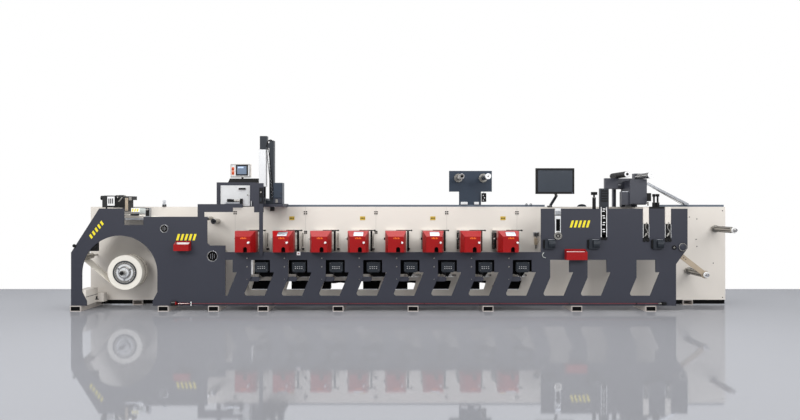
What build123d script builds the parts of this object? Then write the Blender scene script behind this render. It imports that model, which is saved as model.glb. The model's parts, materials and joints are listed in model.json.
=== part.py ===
"""Narrow-web flexographic label press, in millimetres.

+X runs from the unwinder to the rewinder, +Y from the operator's side to the drive side, +Z up.
The origin is on the floor, at the middle of the underside of the middle foot beam.
"""

from build123d import *
from math import asin, atan2, cos, hypot, sin
import os

os.makedirs("parts", exist_ok=True)

# Frame: side plates, wall and foot beams
station_pitch = 560.0
station_count = 8
first_window_x = -2427.0
frame_depth = 620.0
plate_thickness = 20.0
wall_thickness = 25.0
foot_width = 158.0
foot_height = 82.0
foot_wall = 10.0
foot_length = 1040.0
foot_front_lead = 30.0
left_end = -5120.0
right_end = 4985.0
wall_top = 1563.0
press_fit_play = 0.3

front_y = -foot_length / 2 + foot_front_lead
inner_y = front_y + plate_thickness
wall_y = front_y + frame_depth
wall_back_y = wall_y + wall_thickness
foot_back_y = foot_length / 2
plate_bottom = foot_height

# Windows in the side plates, measured from each window's upper left corner
window_top = 768.0
window_sill = 231.0
window_width = 285.0
window_step_z = 583.0
window_step_width = 63.0
window_bend_z = 505.0
window_lean = 0.42
window_low_width = 320.0
window_radius = 6.0
window_low_radius = 34.0
print_plate_top = 885.0
plate_joint_margin = 52.0

# A tongue welded behind the print plates in each of their whole windows
tongue_left = -60.0
tongue_end = 94.0
tongue_z = 479.0
tongue_radius = 34.0
tongue_thickness = 20.0

station_x = [first_window_x + i * station_pitch for i in range(station_count)]
partial_window_x = first_window_x - station_pitch
die_window_x = [
    first_window_x + station_count * station_pitch,
    first_window_x + (station_count + 1) * station_pitch,
]
last_window_x = 3346.0

# Unwinder side plate
unwind_plate_right = -2810.0
unwind_top = 1538.0
unwind_shoulder = 878.0
unwind_slope_x = -4699.0
arch_radius = 565.0
arch_x = -4393.0
arch_z = 566.0
arch_chamfer_z = 287.0
arch_foot_z = 153.0
arch_foot_inset = 70.0
notch_left = -4327.0
notch_right = -4036.0
notch_bottom = 1290.0
infeed_top = 1414.0
arm_left = -3225.0
arm_top = 1604.0
arm_bottom = 1484.0
arm_end = -2699.0
arm_tip = -2554.0
arm_tip_bottom = 1551.0
bay_left_top = -3127.0
bay_left = -3082.0
bay_bottom = 983.0
bay_radius = 40.0
port_1 = (-3726.0, 1236.0)
port_1_radius = 58.0
port_2 = (-3005.0, 823.0)
port_2_radius = 78.0

# Die-cutting side plate
die_plate_left = 1915.0
die_plate_right = 4110.0
die_plate_top = 1535.0
die_plate_waist = 943.0
die_plate_foot_x = 3938.0
die_plate_foot_z = 705.0
die_slot_width = 96.0
die_slot_bottom = 1070.0
die_slot_x = [2169.0, 2858.0, 3488.0, 3818.0]

# Foot beams and ties
foot_x = [-5040.0, -3730.0, -2980.0, -2240.0, -1120.0, 0.0, 1120.0, 2445.0, 3550.0]
short_foot_x = [-4372.0, 4389.0]
tie_radius = 22.0
tie_high_offset = -67.0
tie_high_z = 793.0
tie_low_offset = -200.0
tie_low_z = 300.0
end_ties = [
    (-3500.0, 400.0),
    (-3400.0, 1250.0),
    (2480.0, 1250.0),
    (3150.0, 1250.0),
    (4010.0, 1150.0),
]
box_tie_left = -5060.0
box_tie_right = -4907.0
box_tie_top = 311.0
box_tie_depth = 385.0
box_step_right = -4815.0
box_step_top = 217.0
box_step_depth = 120.0

top_rail_height = 32.0
top_rail_end = 2110.0
top_rail_restart = 3940.0
top_rail_inset = 25.0

# Rear side: openings in the wall, drive housing and motors
wall_split = 405.0
hatch_top = 387.0
hatch_sill = 243.0
hatch_width = 342.0
hatch_left = -138.0
hatch_lean = 45.0
housing_left = -3900.0
housing_right = 4900.0
housing_bottom = 420.0
housing_depth = 350.0
housing_panel_count = 8
groove = 8.0
door_margin = 40.0
door_thickness = 12.0
rear_motor_depth = 150.0
rear_motor_drop = 170.0
rear_motor_spans = [
    (-163.0, 157.0),
    (-60.0, 203.0),
    (-165.0, 2.0),
    (-38.0, 233.0),
    (-103.0, 112.0),
    (-160.0, 260.0),
    (-160.0, 142.0),
    (-160.0, 260.0),
]
kick_bottom = 15.0
kick_top = 200.0
kick_thickness = 25.0
kick_gap = 3.0

# Unwinder spindle and paper
roll_x = -4386.0
roll_z = 562.0
roll_radius = 263.0
roll_bore = 165.0
roll_width = 240.0
roll_front_gap = 150.0
chuck_lip = 6.0
chuck_lip_radius = 172.0
chuck_hub_radius = 85.0
chuck_hub_length = 34.0
chuck_tip_length = 110.0
web_thickness = 2.0
web_gap = 0.4
roll_web_gap = 5.0
spindle_radius = 38.0
spindle_clearance = 0.3
brake_radius = 232.0
brake_thickness = 26.0
bearing_radius = 95.0
bearing_length = 75.0

# Web path above the unwinder
roller_end_gap = 12.0
journal_radius = 15.0
idler_1 = (-5012.0, 800.0)
idler_1_radius = 45.0
idler_1_lead = 20.0
idler_2 = (-4640.0, 1420.0)
idler_3 = (-3900.0, 1365.0)
idler_radius = 40.0
nip_radius = 50.0
nip_gap = 6.0
bay_roller_length = 240.0
port_roller_radius = 66.0
bay_roller_1 = (-3195.0, 1380.0)
bay_roller_1_radius = 30.0
bay_roller_2 = (-3095.0, 1335.0)
bay_roller_2_radius = 42.0
table_left = -4470.0
table_right = -3950.0
table_top = 1388.0
table_thickness = 16.0
guide_y = -200.0
guide_depth = 190.0
guide_post_left = -4430.0
guide_post_right = -4344.0
guide_post_top = 1724.0
guide_tip_right = -4288.0
guide_tip_bottom = 1667.0
guide_motor_left = -4742.0
guide_motor_right = -4573.0
guide_motor_bottom = 1552.0
guide_motor_top = 1735.0
guide_motor_chamfer = 24.0
guide_knob_left = -4800.0
guide_knob_z = 1700.0
guide_knob_radius = 32.0
guide_drum_right = -4457.0
guide_drum_z = 1697.0
guide_drum_radius = 45.0
guide_box_top = 1660.0
guide_box_bottom = 1549.0
guide_box_right = -4400.0
guide_bracket_bottom = 1490.0
guide_bracket_top = 1550.0
clamp_depth = 70.0
clamp_left = -4015.0
clamp_top = 1547.0
clamp_bar_left = -4202.0
clamp_bar_bottom = 1459.0
clamp_bar_thickness = 14.0
lamp_x = -3952.0
lamp_radius = 32.0
lamp_lens_radius = 27.0
lamp_base_height = 34.0
lamp_height = 106.0

# Print units on top of the print side plates
unit_left = -228.0
unit_right = 82.0
unit_top = 1203.0
cover_front = 230.0
cover_depth = 335.0
cover_bevel_top = 75.0
cover_bevel_left = 45.0
cover_bevel_right = 35.0
cover_bevel_bottom = 12.0
cover_bevel_depth = 180.0
cover_arch_offset = -35.0
cover_arch_radius = 30.0
cover_arch_rise = 60.0
cover_arch_depth = 60.0
cover_knob_offset = 24.0
cover_knob_z = 1041.0
cover_knob_radius = 14.0
cover_knob_length = 66.0
rear_plate_thickness = 30.0
impression_offset = -90.0
impression_rise = 85.0
impression_radius = 60.0
plate_cylinder_offset = -100.0
plate_cylinder_rise = 200.0
plate_cylinder_radius = 50.0
anilox_offset = 10.0
anilox_rise = 246.0
anilox_radius = 40.0
tray_bottom_rise = 4.0
tray_thickness = 12.0
tray_left = -190.0
tray_right = 40.0

# Drive boxes in the windows
drive_box_left = 52.0
drive_box_right = 255.0
drive_box_bottom = 580.0
drive_box_top = 730.0
drive_box_corner = 22.0
drive_box_depth = 90.0
chute_left = [30.0] + [-12.0] * 7
chute_right = 330.0
chute_top = 775.0
chute_shoulder = 545.0
chute_slope_left = 90.0
chute_neck = 150.0
chute_bottom = 500.0
chute_wing_left = 210.0
chute_wing_bottom = [505.0] * 4 + [580.0] * 4
chute_depth = 70.0
chute_spacer_offset = 308.0
chute_spacer_z = [640.0, 745.0]
chute_spacer_radius = 12.0
station_roller_radius = 28.0
station_bar_left = 125.0
station_bar_right = 322.0
station_bar_z = 478.0
station_bar_height = 26.0
station_bar_depth = 40.0

# Mast beside the first print unit
mast_base_left = -2262.0
mast_base_right = -1975.0
mast_base_front = -330.0
mast_base_height = 46.0
mast_plate_left = -2440.0
mast_plate_right = -2240.0
mast_plate_neck = -2380.0
mast_plate_bottom = 1480.0
mast_plate_neck_z = 1620.0
mast_plate_slope = 45.0
mast_plate_top = 1918.0
mast_plate_thickness = 24.0
mast_leg_left = -2299.0
mast_leg_right = -2244.0
mast_leg_bottom = 830.0
mast_leg_depth = 24.0
mast_y = -220.0
mast_depth = 110.0
mast_left = -2353.0
mast_right = -2247.0
mast_housing_bottom = 1872.0
mast_housing_top = 2441.0
mast_head_height = 205.0
mast_head_left = -2340.0
mast_head_right = -2232.0
mast_foot_inset = 20.0
mast_back_left = -2195.0
mast_back_right = -2126.0
mast_back_rise = 136.0
mast_link_rise = 26.0
mast_link_height = 70.0
mast_motor_right = -1990.0
mast_motor_margin = 30.0
mast_motor_top = 1930.0

# Control cabinet and control panel
cabinet_left = -3124.0
cabinet_right = -2500.0
cabinet_top = 1953.0
cabinet_front = 160.0
cabinet_depth = 300.0
cabinet_door_left = -3062.0
cabinet_door_width = 472.0
cabinet_door_margin = 14.0
cabinet_door_head = 51.0
cabinet_door_thickness = 22.0
hinge_radius = 9.0
hinge_length = 60.0
hinge_inset = 40.0
door_gap = 0.3
handle_width = 112.0
handle_height = 38.0
handle_depth = 14.0
handle_inset = 62.0
handle_drop = 34.0
hood_left = -2912.0
hood_right = -2446.0
hood_height = 62.0
hood_lean = 29.0
hood_back_step = 60.0
panel_left = -2915.0
panel_right = -2590.0
panel_gap = 0.3
panel_bottom = 2034.0
panel_top = 2250.0
panel_y = 230.0
panel_thickness = 60.0
panel_neck_x = -2727.0
panel_neck_radius = 16.0

# Film unwinding module on the wall
film_left = 587.0
film_right = 1268.0
film_bottom = 1803.0
film_top = 2134.0
film_stem_left = 746.0
film_stem_right = 1095.0
film_spindle_z = 2020.0
film_spindle_x = [732.0, 1125.0]
film_flange_radius = 68.0
film_flange_thickness = 18.0
film_shaft_radius = 38.0
film_stub_radius = 20.0
film_bearing_radius = 42.0
film_bearing_length = 20.0

# Monitor and its arm
monitor_left = 1914.0
monitor_right = 2512.0
monitor_bottom = 1762.0
monitor_top = 2162.0
monitor_y = -110.0
monitor_thickness = 42.0
monitor_boss = 40.0
monitor_pivot_x = 2228.0
monitor_pivot_z = 1962.0
monitor_pivot_radius = 26.0
monitor_pivot_height = 110.0
monitor_neck_half = 15.0
monitor_neck_inset = 20.0
monitor_gap = 0.3
arm_foot_x = 2190.0
arm_bend = (2285.0, 90.0, 1735.0)
arm_elbow_z = 1800.0
arm_radius = 22.0
arm_base_radius = 42.0
arm_base_height = 12.0

# Die-cutting carriages
carriage_width = 92.0
carriage_top = [1360.0, 1500.0, 1310.0, 1310.0]
carriage_depth = 60.0
carriage_inset = 2.0
die_cylinder_radius = 46.0
die_cylinder_rise = 60.0
bridge_left = 2800.0
bridge_right = 2931.0
bridge_top = 1838.0
bridge_depth = 60.0
die_knob_x = [2713.0, 3610.0, 3665.0]
die_knob_top = [1785.0, 1755.0, 1755.0]
die_knob_radius = [46.0, 24.0, 24.0]
die_knob_height = [45.0, 40.0, 40.0]
die_knob_boss = [166.0, 60.0, 60.0]
die_knob_boss_radius = 26.0
die_knob_stem_radius = 14.0
die_pad_left = 3540.0
die_pad_right = 3769.0
die_pad_top = 1566.0
drive_head_x = [2042.0, 2702.0, 3658.0]
drive_head_z = 1076.0
drive_head_width = 150.0
drive_head_height = 140.0
drive_head_depth = 46.0

# Tool trays on the plates
tray_places = [(-3546.0, -3323.0, 910.0, 1006.0, 1051.0), (2270.0, 2577.0, 775.0, 893.0, 931.0)]
tool_tray_depth = 120.0
tool_tray_wall = 5.0

# Matrix rewinder on top of the wall
matrix_panel_left = 3300.0
matrix_panel_right = 3562.0
matrix_panel_bottom = 1605.0
matrix_panel_top = 1984.0
matrix_panel_y = -330.0
matrix_panel_rim = 24.0
matrix_overhang = 60.0
matrix_body_bottom = 1593.0
matrix_body_left = 3190.0
matrix_body_inset = 120.0
matrix_skin_depth = 60.0
matrix_body_right = 3560.0
matrix_body_top = 1800.0
matrix_body_front = -300.0
matrix_box_left = 2999.0
matrix_box_right = 3204.0
matrix_box_bottom = 1841.0
matrix_box_front = -100.0
matrix_box_depth = 70.0
matrix_arm_right = 3440.0
matrix_post_left = 3198.0
matrix_post_right = 3246.0
matrix_post_depth = 65.0
matrix_roller = (3208.0, 2052.0)
matrix_roller_radius = 44.0
matrix_roller_front = -485.0
matrix_tip_radius = 18.0
matrix_tip_length = 12.0
matrix_spindle = (3560.0, 2036.0)
matrix_spindle_radius = 42.0
matrix_spindle_front = -480.0
matrix_disc_radius = 46.0
matrix_disc_thickness = 14.0
matrix_stub_radius = 28.0
matrix_block_left = 3508.0
matrix_block_right = 3612.0
matrix_block_bottom = 1960.0
matrix_block_top = 2088.0
matrix_block_depth = 115.0

# Cable tray
cable_tray_high = (3740.0, 1912.0)
cable_tray_low = (4315.0, 1608.0)
cable_tray_thickness = 30.0
cable_tray_width = 80.0
cable_tray_foot = 64.0

# Rewinder
rewind_upper = (4802.0, 1213.0)
rewind_lower = (4384.0, 546.0)
rewind_shaft_radius = 38.0
rewind_flange_radius = 58.0
rewind_flange_thickness = 22.0
rewind_disc_radius = 46.0
rewind_disc_thickness = 16.0
rewind_stub_radius = 22.0
rewind_stub_length = 70.0
rewind_bearing_radius = 50.0
rewind_bearing_length = 40.0
support_arm_start = (3985.0, 857.0)
support_arm_width = 75.0
support_arm_thickness = 25.0
support_eye_radius = 58.0

# Emergency pull cord
cord_left = -3525.0
cord_right = 3712.0
cord_z = 118.0
cord_stand_off = 26.0
cord_radius = 5.0
cord_clearance = 0.3
eye_x = [-3320.0, -2088.0, -965.0, 168.0, 1292.0, 2326.0, 3334.0]
eye_radius = 13.0
eye_thickness = 8.0
eye_stem_half = 5.0
switch_left = -3614.0
switch_bottom = 90.0
switch_height = 62.0
switch_lead = 20.0
anchor_lead = 14.0
anchor_length = 70.0
anchor_height = 40.0


def facing(y):
    """A sketch plane with X to the right and Z up, at depth y."""
    return Plane.XZ.offset(-y)


def block(x_low, x_high, y_low, y_high, z_low, z_high, mode=Mode.ADD):
    """A box between two corners, added to or cut from the part being built."""
    with Locations(((x_low + x_high) / 2, (y_low + y_high) / 2, (z_low + z_high) / 2)):
        Box(x_high - x_low, y_high - y_low, z_high - z_low, mode=mode)


def bar(centre, radius, y_low, y_high, mode=Mode.ADD):
    """A round bar or hole along Y, in the part being built."""
    with BuildSketch(facing(y_low)) as section:
        with Locations(centre):
            Circle(radius)
    extrude(section.sketch, amount=y_low - y_high, mode=mode)


def slab(corners, y_low, y_high, mode=Mode.ADD):
    """A slab of the outline given by its corners, in the part being built."""
    with BuildSketch(facing(y_low)) as outline:
        with BuildLine():
            Polyline(*corners, close=True)
        make_face()
    extrude(outline.sketch, amount=y_low - y_high, mode=mode)


def roller(centre, radius):
    """A web roller and its journals, from the side plate to the wall."""
    bar(centre, radius, inner_y + roller_end_gap, wall_y - roller_end_gap)
    bar(centre, journal_radius, inner_y, wall_y)


def rod_along_x(x_low, x_high, y, z, radius):
    """A round bar along X, added to the part being built."""
    with BuildSketch(Plane.YZ.offset(x_low)) as section:
        with Locations((y, z)):
            Circle(radius)
    extrude(section.sketch, amount=x_high - x_low)


def write(piece, node):
    """Labels a finished piece and writes its STEP file."""
    piece.part.label = node
    export_step(piece.part, f"parts/{node}.step")


def window(x):
    """Cuts one access window, its lower half leaning, out of the sketch being built."""
    lean = (window_bend_z - window_sill) * window_lean
    low_left = x - lean
    corners = [
        (x, window_top),
        (x + window_width, window_top),
        (x + window_width, window_step_z),
        (x + window_width + window_step_width, window_step_z),
        (low_left + window_low_width, window_sill),
        (low_left, window_sill),
        (x, window_bend_z),
    ]
    radii = [window_radius] * 5 + [window_low_radius, window_radius]
    with BuildLine() as outline:
        FilletPolyline(*corners, radius=radii, close=True)
    make_face(outline.edges(), mode=Mode.SUBTRACT)


# The operator's side: three dark plates in line

with BuildPart() as unwind_side_plate:
    with BuildSketch(facing(front_y)):
        with BuildLine():
            Polyline(
                (left_end, plate_bottom),
                (left_end, unwind_shoulder),
                (unwind_slope_x, unwind_top),
                (notch_left, unwind_top),
                (notch_left, notch_bottom),
                (notch_right, notch_bottom),
                (notch_right, infeed_top),
                (arm_left, infeed_top),
                (arm_left, arm_top),
                (arm_tip, arm_top),
                (arm_tip, arm_tip_bottom),
                (arm_end, arm_tip_bottom),
                (arm_end, arm_bottom),
                (bay_left_top, arm_bottom),
                (bay_left_top, infeed_top),
                (bay_left, infeed_top),
                (bay_left, bay_bottom + bay_radius),
                (bay_left + bay_radius, bay_bottom),
                (unwind_plate_right, bay_bottom),
                (unwind_plate_right, plate_bottom),
                close=True,
            )
        make_face()
        with BuildLine():
            arch = CenterArc((arch_x, arch_z), arch_radius, 0, 180)
            Polyline(
                arch @ 1,
                (arch_x - arch_radius, arch_chamfer_z),
                (arch_x - arch_radius + arch_foot_inset, arch_foot_z),
                (arch_x - arch_radius + arch_foot_inset, plate_bottom - 1),
                (arch_x + arch_radius - arch_foot_inset, plate_bottom - 1),
                (arch_x + arch_radius - arch_foot_inset, arch_foot_z),
                (arch_x + arch_radius, arch_chamfer_z),
                arch @ 0,
            )
        make_face(mode=Mode.SUBTRACT)
        with Locations(port_1):
            Circle(port_1_radius, mode=Mode.SUBTRACT)
        with Locations(port_2):
            Circle(port_2_radius, mode=Mode.SUBTRACT)
    extrude(amount=-plate_thickness)
write(unwind_side_plate, "unwind_side_plate")


def print_side_plate(left, right, windows):
    """One plate under the print units, between two X values, with its windows cut out."""
    with BuildSketch(facing(front_y)) as outline:
        with BuildLine():
            Polyline(
                (left, plate_bottom),
                (left, print_plate_top),
                (right, print_plate_top),
                (right, plate_bottom),
                close=True,
            )
        make_face()
        for x in windows:
            window(x)
    extrude(outline.sketch, amount=-plate_thickness)
    for x in windows:
        if x in station_x:
            tongue_back = inner_y + tongue_thickness
            tongue_low = tongue_z - tongue_radius
            tongue_top = tongue_z + tongue_radius
            block(x + tongue_left, x + tongue_end, inner_y, tongue_back, tongue_low, tongue_top)
            bar((x + tongue_end, tongue_z), tongue_radius, inner_y, tongue_back)


window_reach = window_width + window_step_width
plate_joint_x = [station_x[i] + window_reach + plate_joint_margin for i in (1, 3, 5)]
print_plate_edges = [unwind_plate_right, *plate_joint_x, die_plate_left]
window_groups = [
    [partial_window_x, *station_x[0:2]],
    station_x[2:4],
    station_x[4:6],
    station_x[6:8],
]

for number in range(4):
    with BuildPart() as print_plate:
        print_side_plate(print_plate_edges[number], print_plate_edges[number + 1], window_groups[number])
    write(print_plate, f"print_side_plate_{number + 1}")

die_joint_x = (die_window_x[1] + window_width + last_window_x) / 2


def die_slot(x):
    """Cuts one open-topped slot out of the sketch being built."""
    half = die_slot_width / 2
    with BuildLine() as outline:
        Polyline(
            (x - half, die_plate_top + 1),
            (x - half, die_slot_bottom),
            (x + half, die_slot_bottom),
            (x + half, die_plate_top + 1),
            close=True,
        )
    make_face(outline.edges(), mode=Mode.SUBTRACT)


with BuildPart() as die_side_plate_1:
    with BuildSketch(facing(front_y)):
        with BuildLine():
            Polyline(
                (die_plate_left, plate_bottom),
                (die_plate_left, die_plate_top),
                (die_joint_x, die_plate_top),
                (die_joint_x, plate_bottom),
                close=True,
            )
        make_face()
        for x in die_window_x:
            window(x)
        for x in die_slot_x[:2]:
            die_slot(x)
    extrude(amount=-plate_thickness)
write(die_side_plate_1, "die_side_plate_1")

with BuildPart() as die_side_plate_2:
    with BuildSketch(facing(front_y)):
        with BuildLine():
            Polyline(
                (die_joint_x, plate_bottom),
                (die_joint_x, die_plate_top),
                (die_plate_right, die_plate_top),
                (die_plate_right, die_plate_waist),
                (die_plate_foot_x, die_plate_foot_z),
                (die_plate_foot_x, plate_bottom),
                close=True,
            )
        make_face()
        window(last_window_x)
        for x in die_slot_x[2:]:
            die_slot(x)
    extrude(amount=-plate_thickness)
write(die_side_plate_2, "die_side_plate_2")

# The wall on the drive side, with a hatch behind each print unit

with BuildPart() as upper_back_wall:
    block(left_end, right_end, wall_y, wall_back_y, wall_split, wall_top)
write(upper_back_wall, "upper_back_wall")

with BuildPart() as lower_back_wall:
    block(left_end, right_end, wall_y, wall_back_y, plate_bottom, wall_split)
    for x in station_x:
        hatch_edge = x + hatch_left
        hatch = [
            (hatch_edge + hatch_lean, hatch_top),
            (hatch_edge + hatch_lean + hatch_width, hatch_top),
            (hatch_edge + hatch_width, hatch_sill),
            (hatch_edge, hatch_sill),
        ]
        slab(hatch, wall_y, wall_back_y, mode=Mode.SUBTRACT)
write(lower_back_wall, "lower_back_wall")

# Feet and ties

with BuildPart() as foot_beams:
    half_foot = foot_width / 2
    half_hollow = half_foot - foot_wall
    foot_front_y = -foot_length / 2
    feet = [(x, foot_front_y) for x in foot_x] + [(x, wall_y) for x in short_foot_x]
    for x, start_y in feet:
        block(x - half_foot, x + half_foot, start_y, foot_back_y, 0, foot_height)
        block(
            x - half_hollow,
            x + half_hollow,
            start_y,
            foot_back_y,
            foot_wall,
            foot_height - foot_wall,
            mode=Mode.SUBTRACT,
        )
write(foot_beams, "foot_beams")

with BuildPart() as tie_bars:
    for x in station_x:
        bar((x + tie_high_offset, tie_high_z), tie_radius, inner_y, wall_y)
        bar((x + tie_low_offset, tie_low_z), tie_radius, inner_y, wall_y)
    for place in end_ties:
        bar(place, tie_radius, inner_y, wall_y)
write(tie_bars, "tie_bars")

with BuildPart() as unwind_base_box:
    box_tie_back = inner_y + box_tie_depth
    block(box_tie_left, box_tie_right, inner_y, box_tie_back, plate_bottom, box_tie_top)
    step_back = box_tie_back + box_step_depth
    block(box_tie_left, box_step_right, box_tie_back, step_back, plate_bottom, box_step_top)
write(unwind_base_box, "unwind_base_box")

rail_top = wall_top + top_rail_height
top_rail_spans = [(mast_base_right, top_rail_end), (top_rail_restart, right_end - top_rail_inset)]

with BuildPart() as top_rails:
    for left, right in top_rail_spans:
        block(left, right, wall_y, wall_back_y, wall_top, rail_top)
write(top_rails, "top_rails")

# The unwinder: bearing, spindle with its chuck and brake disc, and the paper roll

roll_front = inner_y + roll_front_gap
roll_back = roll_front + roll_width
roll_centre = (roll_x, roll_z)
bearing_front = wall_y - bearing_length

with BuildPart() as unwind_shaft:
    bar(roll_centre, spindle_radius, roll_front - chuck_tip_length, wall_y - spindle_clearance)
    bar(roll_centre, chuck_hub_radius, roll_front - chuck_hub_length, roll_front)
    bar(roll_centre, chuck_lip_radius, roll_front - press_fit_play - chuck_lip, roll_front - press_fit_play)
    bar(roll_centre, roll_bore - press_fit_play, roll_front - press_fit_play, roll_back + press_fit_play)
    bar(roll_centre, brake_radius, roll_back + press_fit_play, roll_back + press_fit_play + brake_thickness)
write(unwind_shaft, "unwind_shaft")

with BuildPart() as paper_roll:
    bar(roll_centre, roll_radius, roll_front, roll_back)
    bar(roll_centre, roll_bore, roll_front, roll_back, mode=Mode.SUBTRACT)
write(paper_roll, "paper_roll")

# Rollers behind the unwinder plate

with BuildPart() as web_rollers:
    bar(idler_1, idler_1_radius, inner_y + roller_end_gap, roll_back + idler_1_lead)
    bar(idler_1, journal_radius, inner_y, wall_y)
    roller(idler_2, idler_radius)
    roller(idler_3, idler_radius)
    bar(port_1, nip_radius, inner_y, wall_y)
    bar((port_1[0], port_1[1] - 2 * nip_radius - nip_gap), nip_radius, inner_y, wall_y)
    bar(port_2, port_roller_radius, inner_y, wall_y)
    bar(bay_roller_1, bay_roller_1_radius, wall_y - bay_roller_length, wall_y)
    bar(bay_roller_2, bay_roller_2_radius, wall_y - bay_roller_length, wall_y)
write(web_rollers, "web_rollers")


def tangent(centre_a, radius_a, centre_b, radius_b):
    """Ends of the straight run from one circle to the next; a positive radius lies left of the run."""
    span = hypot(centre_b[0] - centre_a[0], centre_b[1] - centre_a[1])
    angle = atan2(centre_b[1] - centre_a[1], centre_b[0] - centre_a[0]) - asin((radius_b - radius_a) / span)
    normal = (-sin(angle), cos(angle))
    start = (centre_a[0] - radius_a * normal[0], centre_a[1] - radius_a * normal[1])
    end = (centre_b[0] - radius_b * normal[0], centre_b[1] - radius_b * normal[1])
    return start, end


def corner(run_a, run_b):
    """The point where two straight runs meet when they are carried on."""
    (ax, az), (bx, bz) = run_a
    (cx, cz), (dx, dz) = run_b
    across = (bx - ax) * (dz - cz) - (bz - az) * (dx - cx)
    share = ((cx - ax) * (dz - cz) - (cz - az) * (dx - cx)) / across
    return (ax + share * (bx - ax), az + share * (bz - az))


def web_face(side):
    """Corner points of one face of the web; side is +1 or -1 half thickness from its middle."""
    reach = web_gap + web_thickness / 2 + side * web_thickness / 2
    wraps = [
        (roll_centre, -(roll_radius + roll_web_gap - web_gap + reach)),
        (idler_1, -(idler_1_radius + reach)),
        (idler_2, -(idler_radius + reach)),
        (idler_3, -(idler_radius + reach)),
        (port_1, -(nip_radius + reach)),
    ]
    runs = [tangent(*wraps[i], *wraps[i + 1]) for i in range(len(wraps) - 1)]
    corners = [corner(runs[i], runs[i + 1]) for i in range(len(runs) - 1)]
    return [runs[0][0], *corners, runs[-1][1]], [abs(wrap[1]) for wrap in wraps[1:-1]]


outer_points, outer_radii = web_face(1)
inner_points, inner_radii = web_face(-1)

with BuildPart() as paper_web:
    with BuildSketch(facing(roll_front)):
        with BuildLine():
            outer = FilletPolyline(*outer_points, radius=outer_radii)
            inner = FilletPolyline(*inner_points, radius=inner_radii)
            Line(outer @ 0, inner @ 0)
            Line(outer @ 1, inner @ 1)
        make_face()
    extrude(amount=-roll_width)
write(paper_web, "paper_web")

with BuildPart() as web_guide:
    guide_front = guide_y - guide_depth / 2
    guide_back = guide_y + guide_depth / 2
    motor_shoulder = guide_motor_top - guide_motor_chamfer
    motor_outline = [
        (guide_motor_left, guide_motor_bottom),
        (guide_motor_right, guide_motor_bottom),
        (guide_motor_right, motor_shoulder),
        (guide_motor_right - guide_motor_chamfer, guide_motor_top),
        (guide_motor_left + guide_motor_chamfer, guide_motor_top),
        (guide_motor_left, motor_shoulder),
    ]
    slab(motor_outline, guide_front, guide_back)
    rod_along_x(guide_knob_left, guide_motor_left, guide_y, guide_knob_z, guide_knob_radius)
    rod_along_x(guide_motor_right, guide_drum_right, guide_y, guide_drum_z, guide_drum_radius)
    block(guide_motor_right, guide_box_right, guide_front, guide_back, guide_box_bottom, guide_box_top)
    block(guide_post_left, guide_post_right, guide_front, guide_back, guide_bracket_bottom, guide_post_top)
    block(guide_post_right, guide_tip_right, guide_front, guide_back, guide_tip_bottom, guide_post_top)
    block(guide_post_left, guide_post_right, guide_back, wall_y, guide_bracket_bottom, guide_bracket_top)
write(web_guide, "web_guide")

with BuildPart() as splice_table:
    block(table_left, table_right, inner_y, wall_y, table_top - table_thickness, table_top)
    clamp_back = inner_y + clamp_depth
    clamp_bar_front = clamp_back - clamp_bar_thickness
    block(clamp_left, table_right, inner_y, clamp_back, table_top, clamp_top)
    block(clamp_bar_left, clamp_left, clamp_bar_front, clamp_back, clamp_bar_bottom, clamp_top)
write(splice_table, "splice_table")

with BuildPart() as signal_lamp:
    with BuildSketch(Plane.XY.offset(wall_top)):
        with Locations((lamp_x, (wall_y + wall_back_y) / 2)):
            Circle(lamp_radius)
    extrude(amount=lamp_base_height)
    with BuildSketch(Plane.XY.offset(wall_top + lamp_base_height)):
        with Locations((lamp_x, (wall_y + wall_back_y) / 2)):
            Circle(lamp_lens_radius)
    extrude(amount=lamp_height - lamp_base_height)
write(signal_lamp, "signal_lamp")

# The eight print units: red covers in front, black plates on the wall, cylinders between

cover_front_y = front_y - cover_front
cover_back_y = cover_front_y + cover_depth
rear_plate_y = wall_y - rear_plate_thickness
unit_bottom = print_plate_top

with BuildPart() as print_covers:
    for x in station_x:
        left = x + unit_left
        right = x + unit_right
        with BuildSketch(facing(cover_front_y)):
            face_left = left + cover_bevel_left
            face_right = right - cover_bevel_right
            face_bottom = unit_bottom + cover_bevel_bottom
            face_top = unit_top - cover_bevel_top
            with Locations(((face_left + face_right) / 2, (face_bottom + face_top) / 2)):
                Rectangle(face_right - face_left, face_top - face_bottom)
        with BuildSketch(facing(cover_front_y + cover_bevel_depth)):
            with Locations(((left + right) / 2, (unit_bottom + unit_top) / 2)):
                Rectangle(right - left, unit_top - unit_bottom)
        loft()
        block(left, right, cover_front_y + cover_bevel_depth, cover_back_y, unit_bottom, unit_top)
        middle = x + cover_arch_offset
        arch_back = cover_front_y + cover_arch_depth
        arch_spring = unit_bottom + cover_arch_rise
        bar((middle, arch_spring), cover_arch_radius, cover_front_y, arch_back, mode=Mode.SUBTRACT)
        block(
            middle - cover_arch_radius,
            middle + cover_arch_radius,
            cover_front_y,
            arch_back,
            unit_bottom,
            arch_spring,
            mode=Mode.SUBTRACT,
        )
        knob_place = (x + cover_knob_offset, cover_knob_z)
        bar(knob_place, cover_knob_radius, cover_front_y - cover_knob_length, cover_front_y)
write(print_covers, "print_covers")

with BuildPart() as print_rear_plates:
    for x in station_x:
        block(x + unit_left, x + unit_right, rear_plate_y, wall_y, unit_bottom, unit_top)
write(print_rear_plates, "print_rear_plates")

print_cylinders = [
    ("impression_cylinders", impression_offset, impression_rise, impression_radius),
    ("plate_cylinders", plate_cylinder_offset, plate_cylinder_rise, plate_cylinder_radius),
    ("anilox_rollers", anilox_offset, anilox_rise, anilox_radius),
]
for node, offset_x, rise, radius in print_cylinders:
    with BuildPart() as cylinders:
        for x in station_x:
            bar((x + offset_x, unit_bottom + rise), radius, cover_back_y, rear_plate_y)
    write(cylinders, node)

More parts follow.
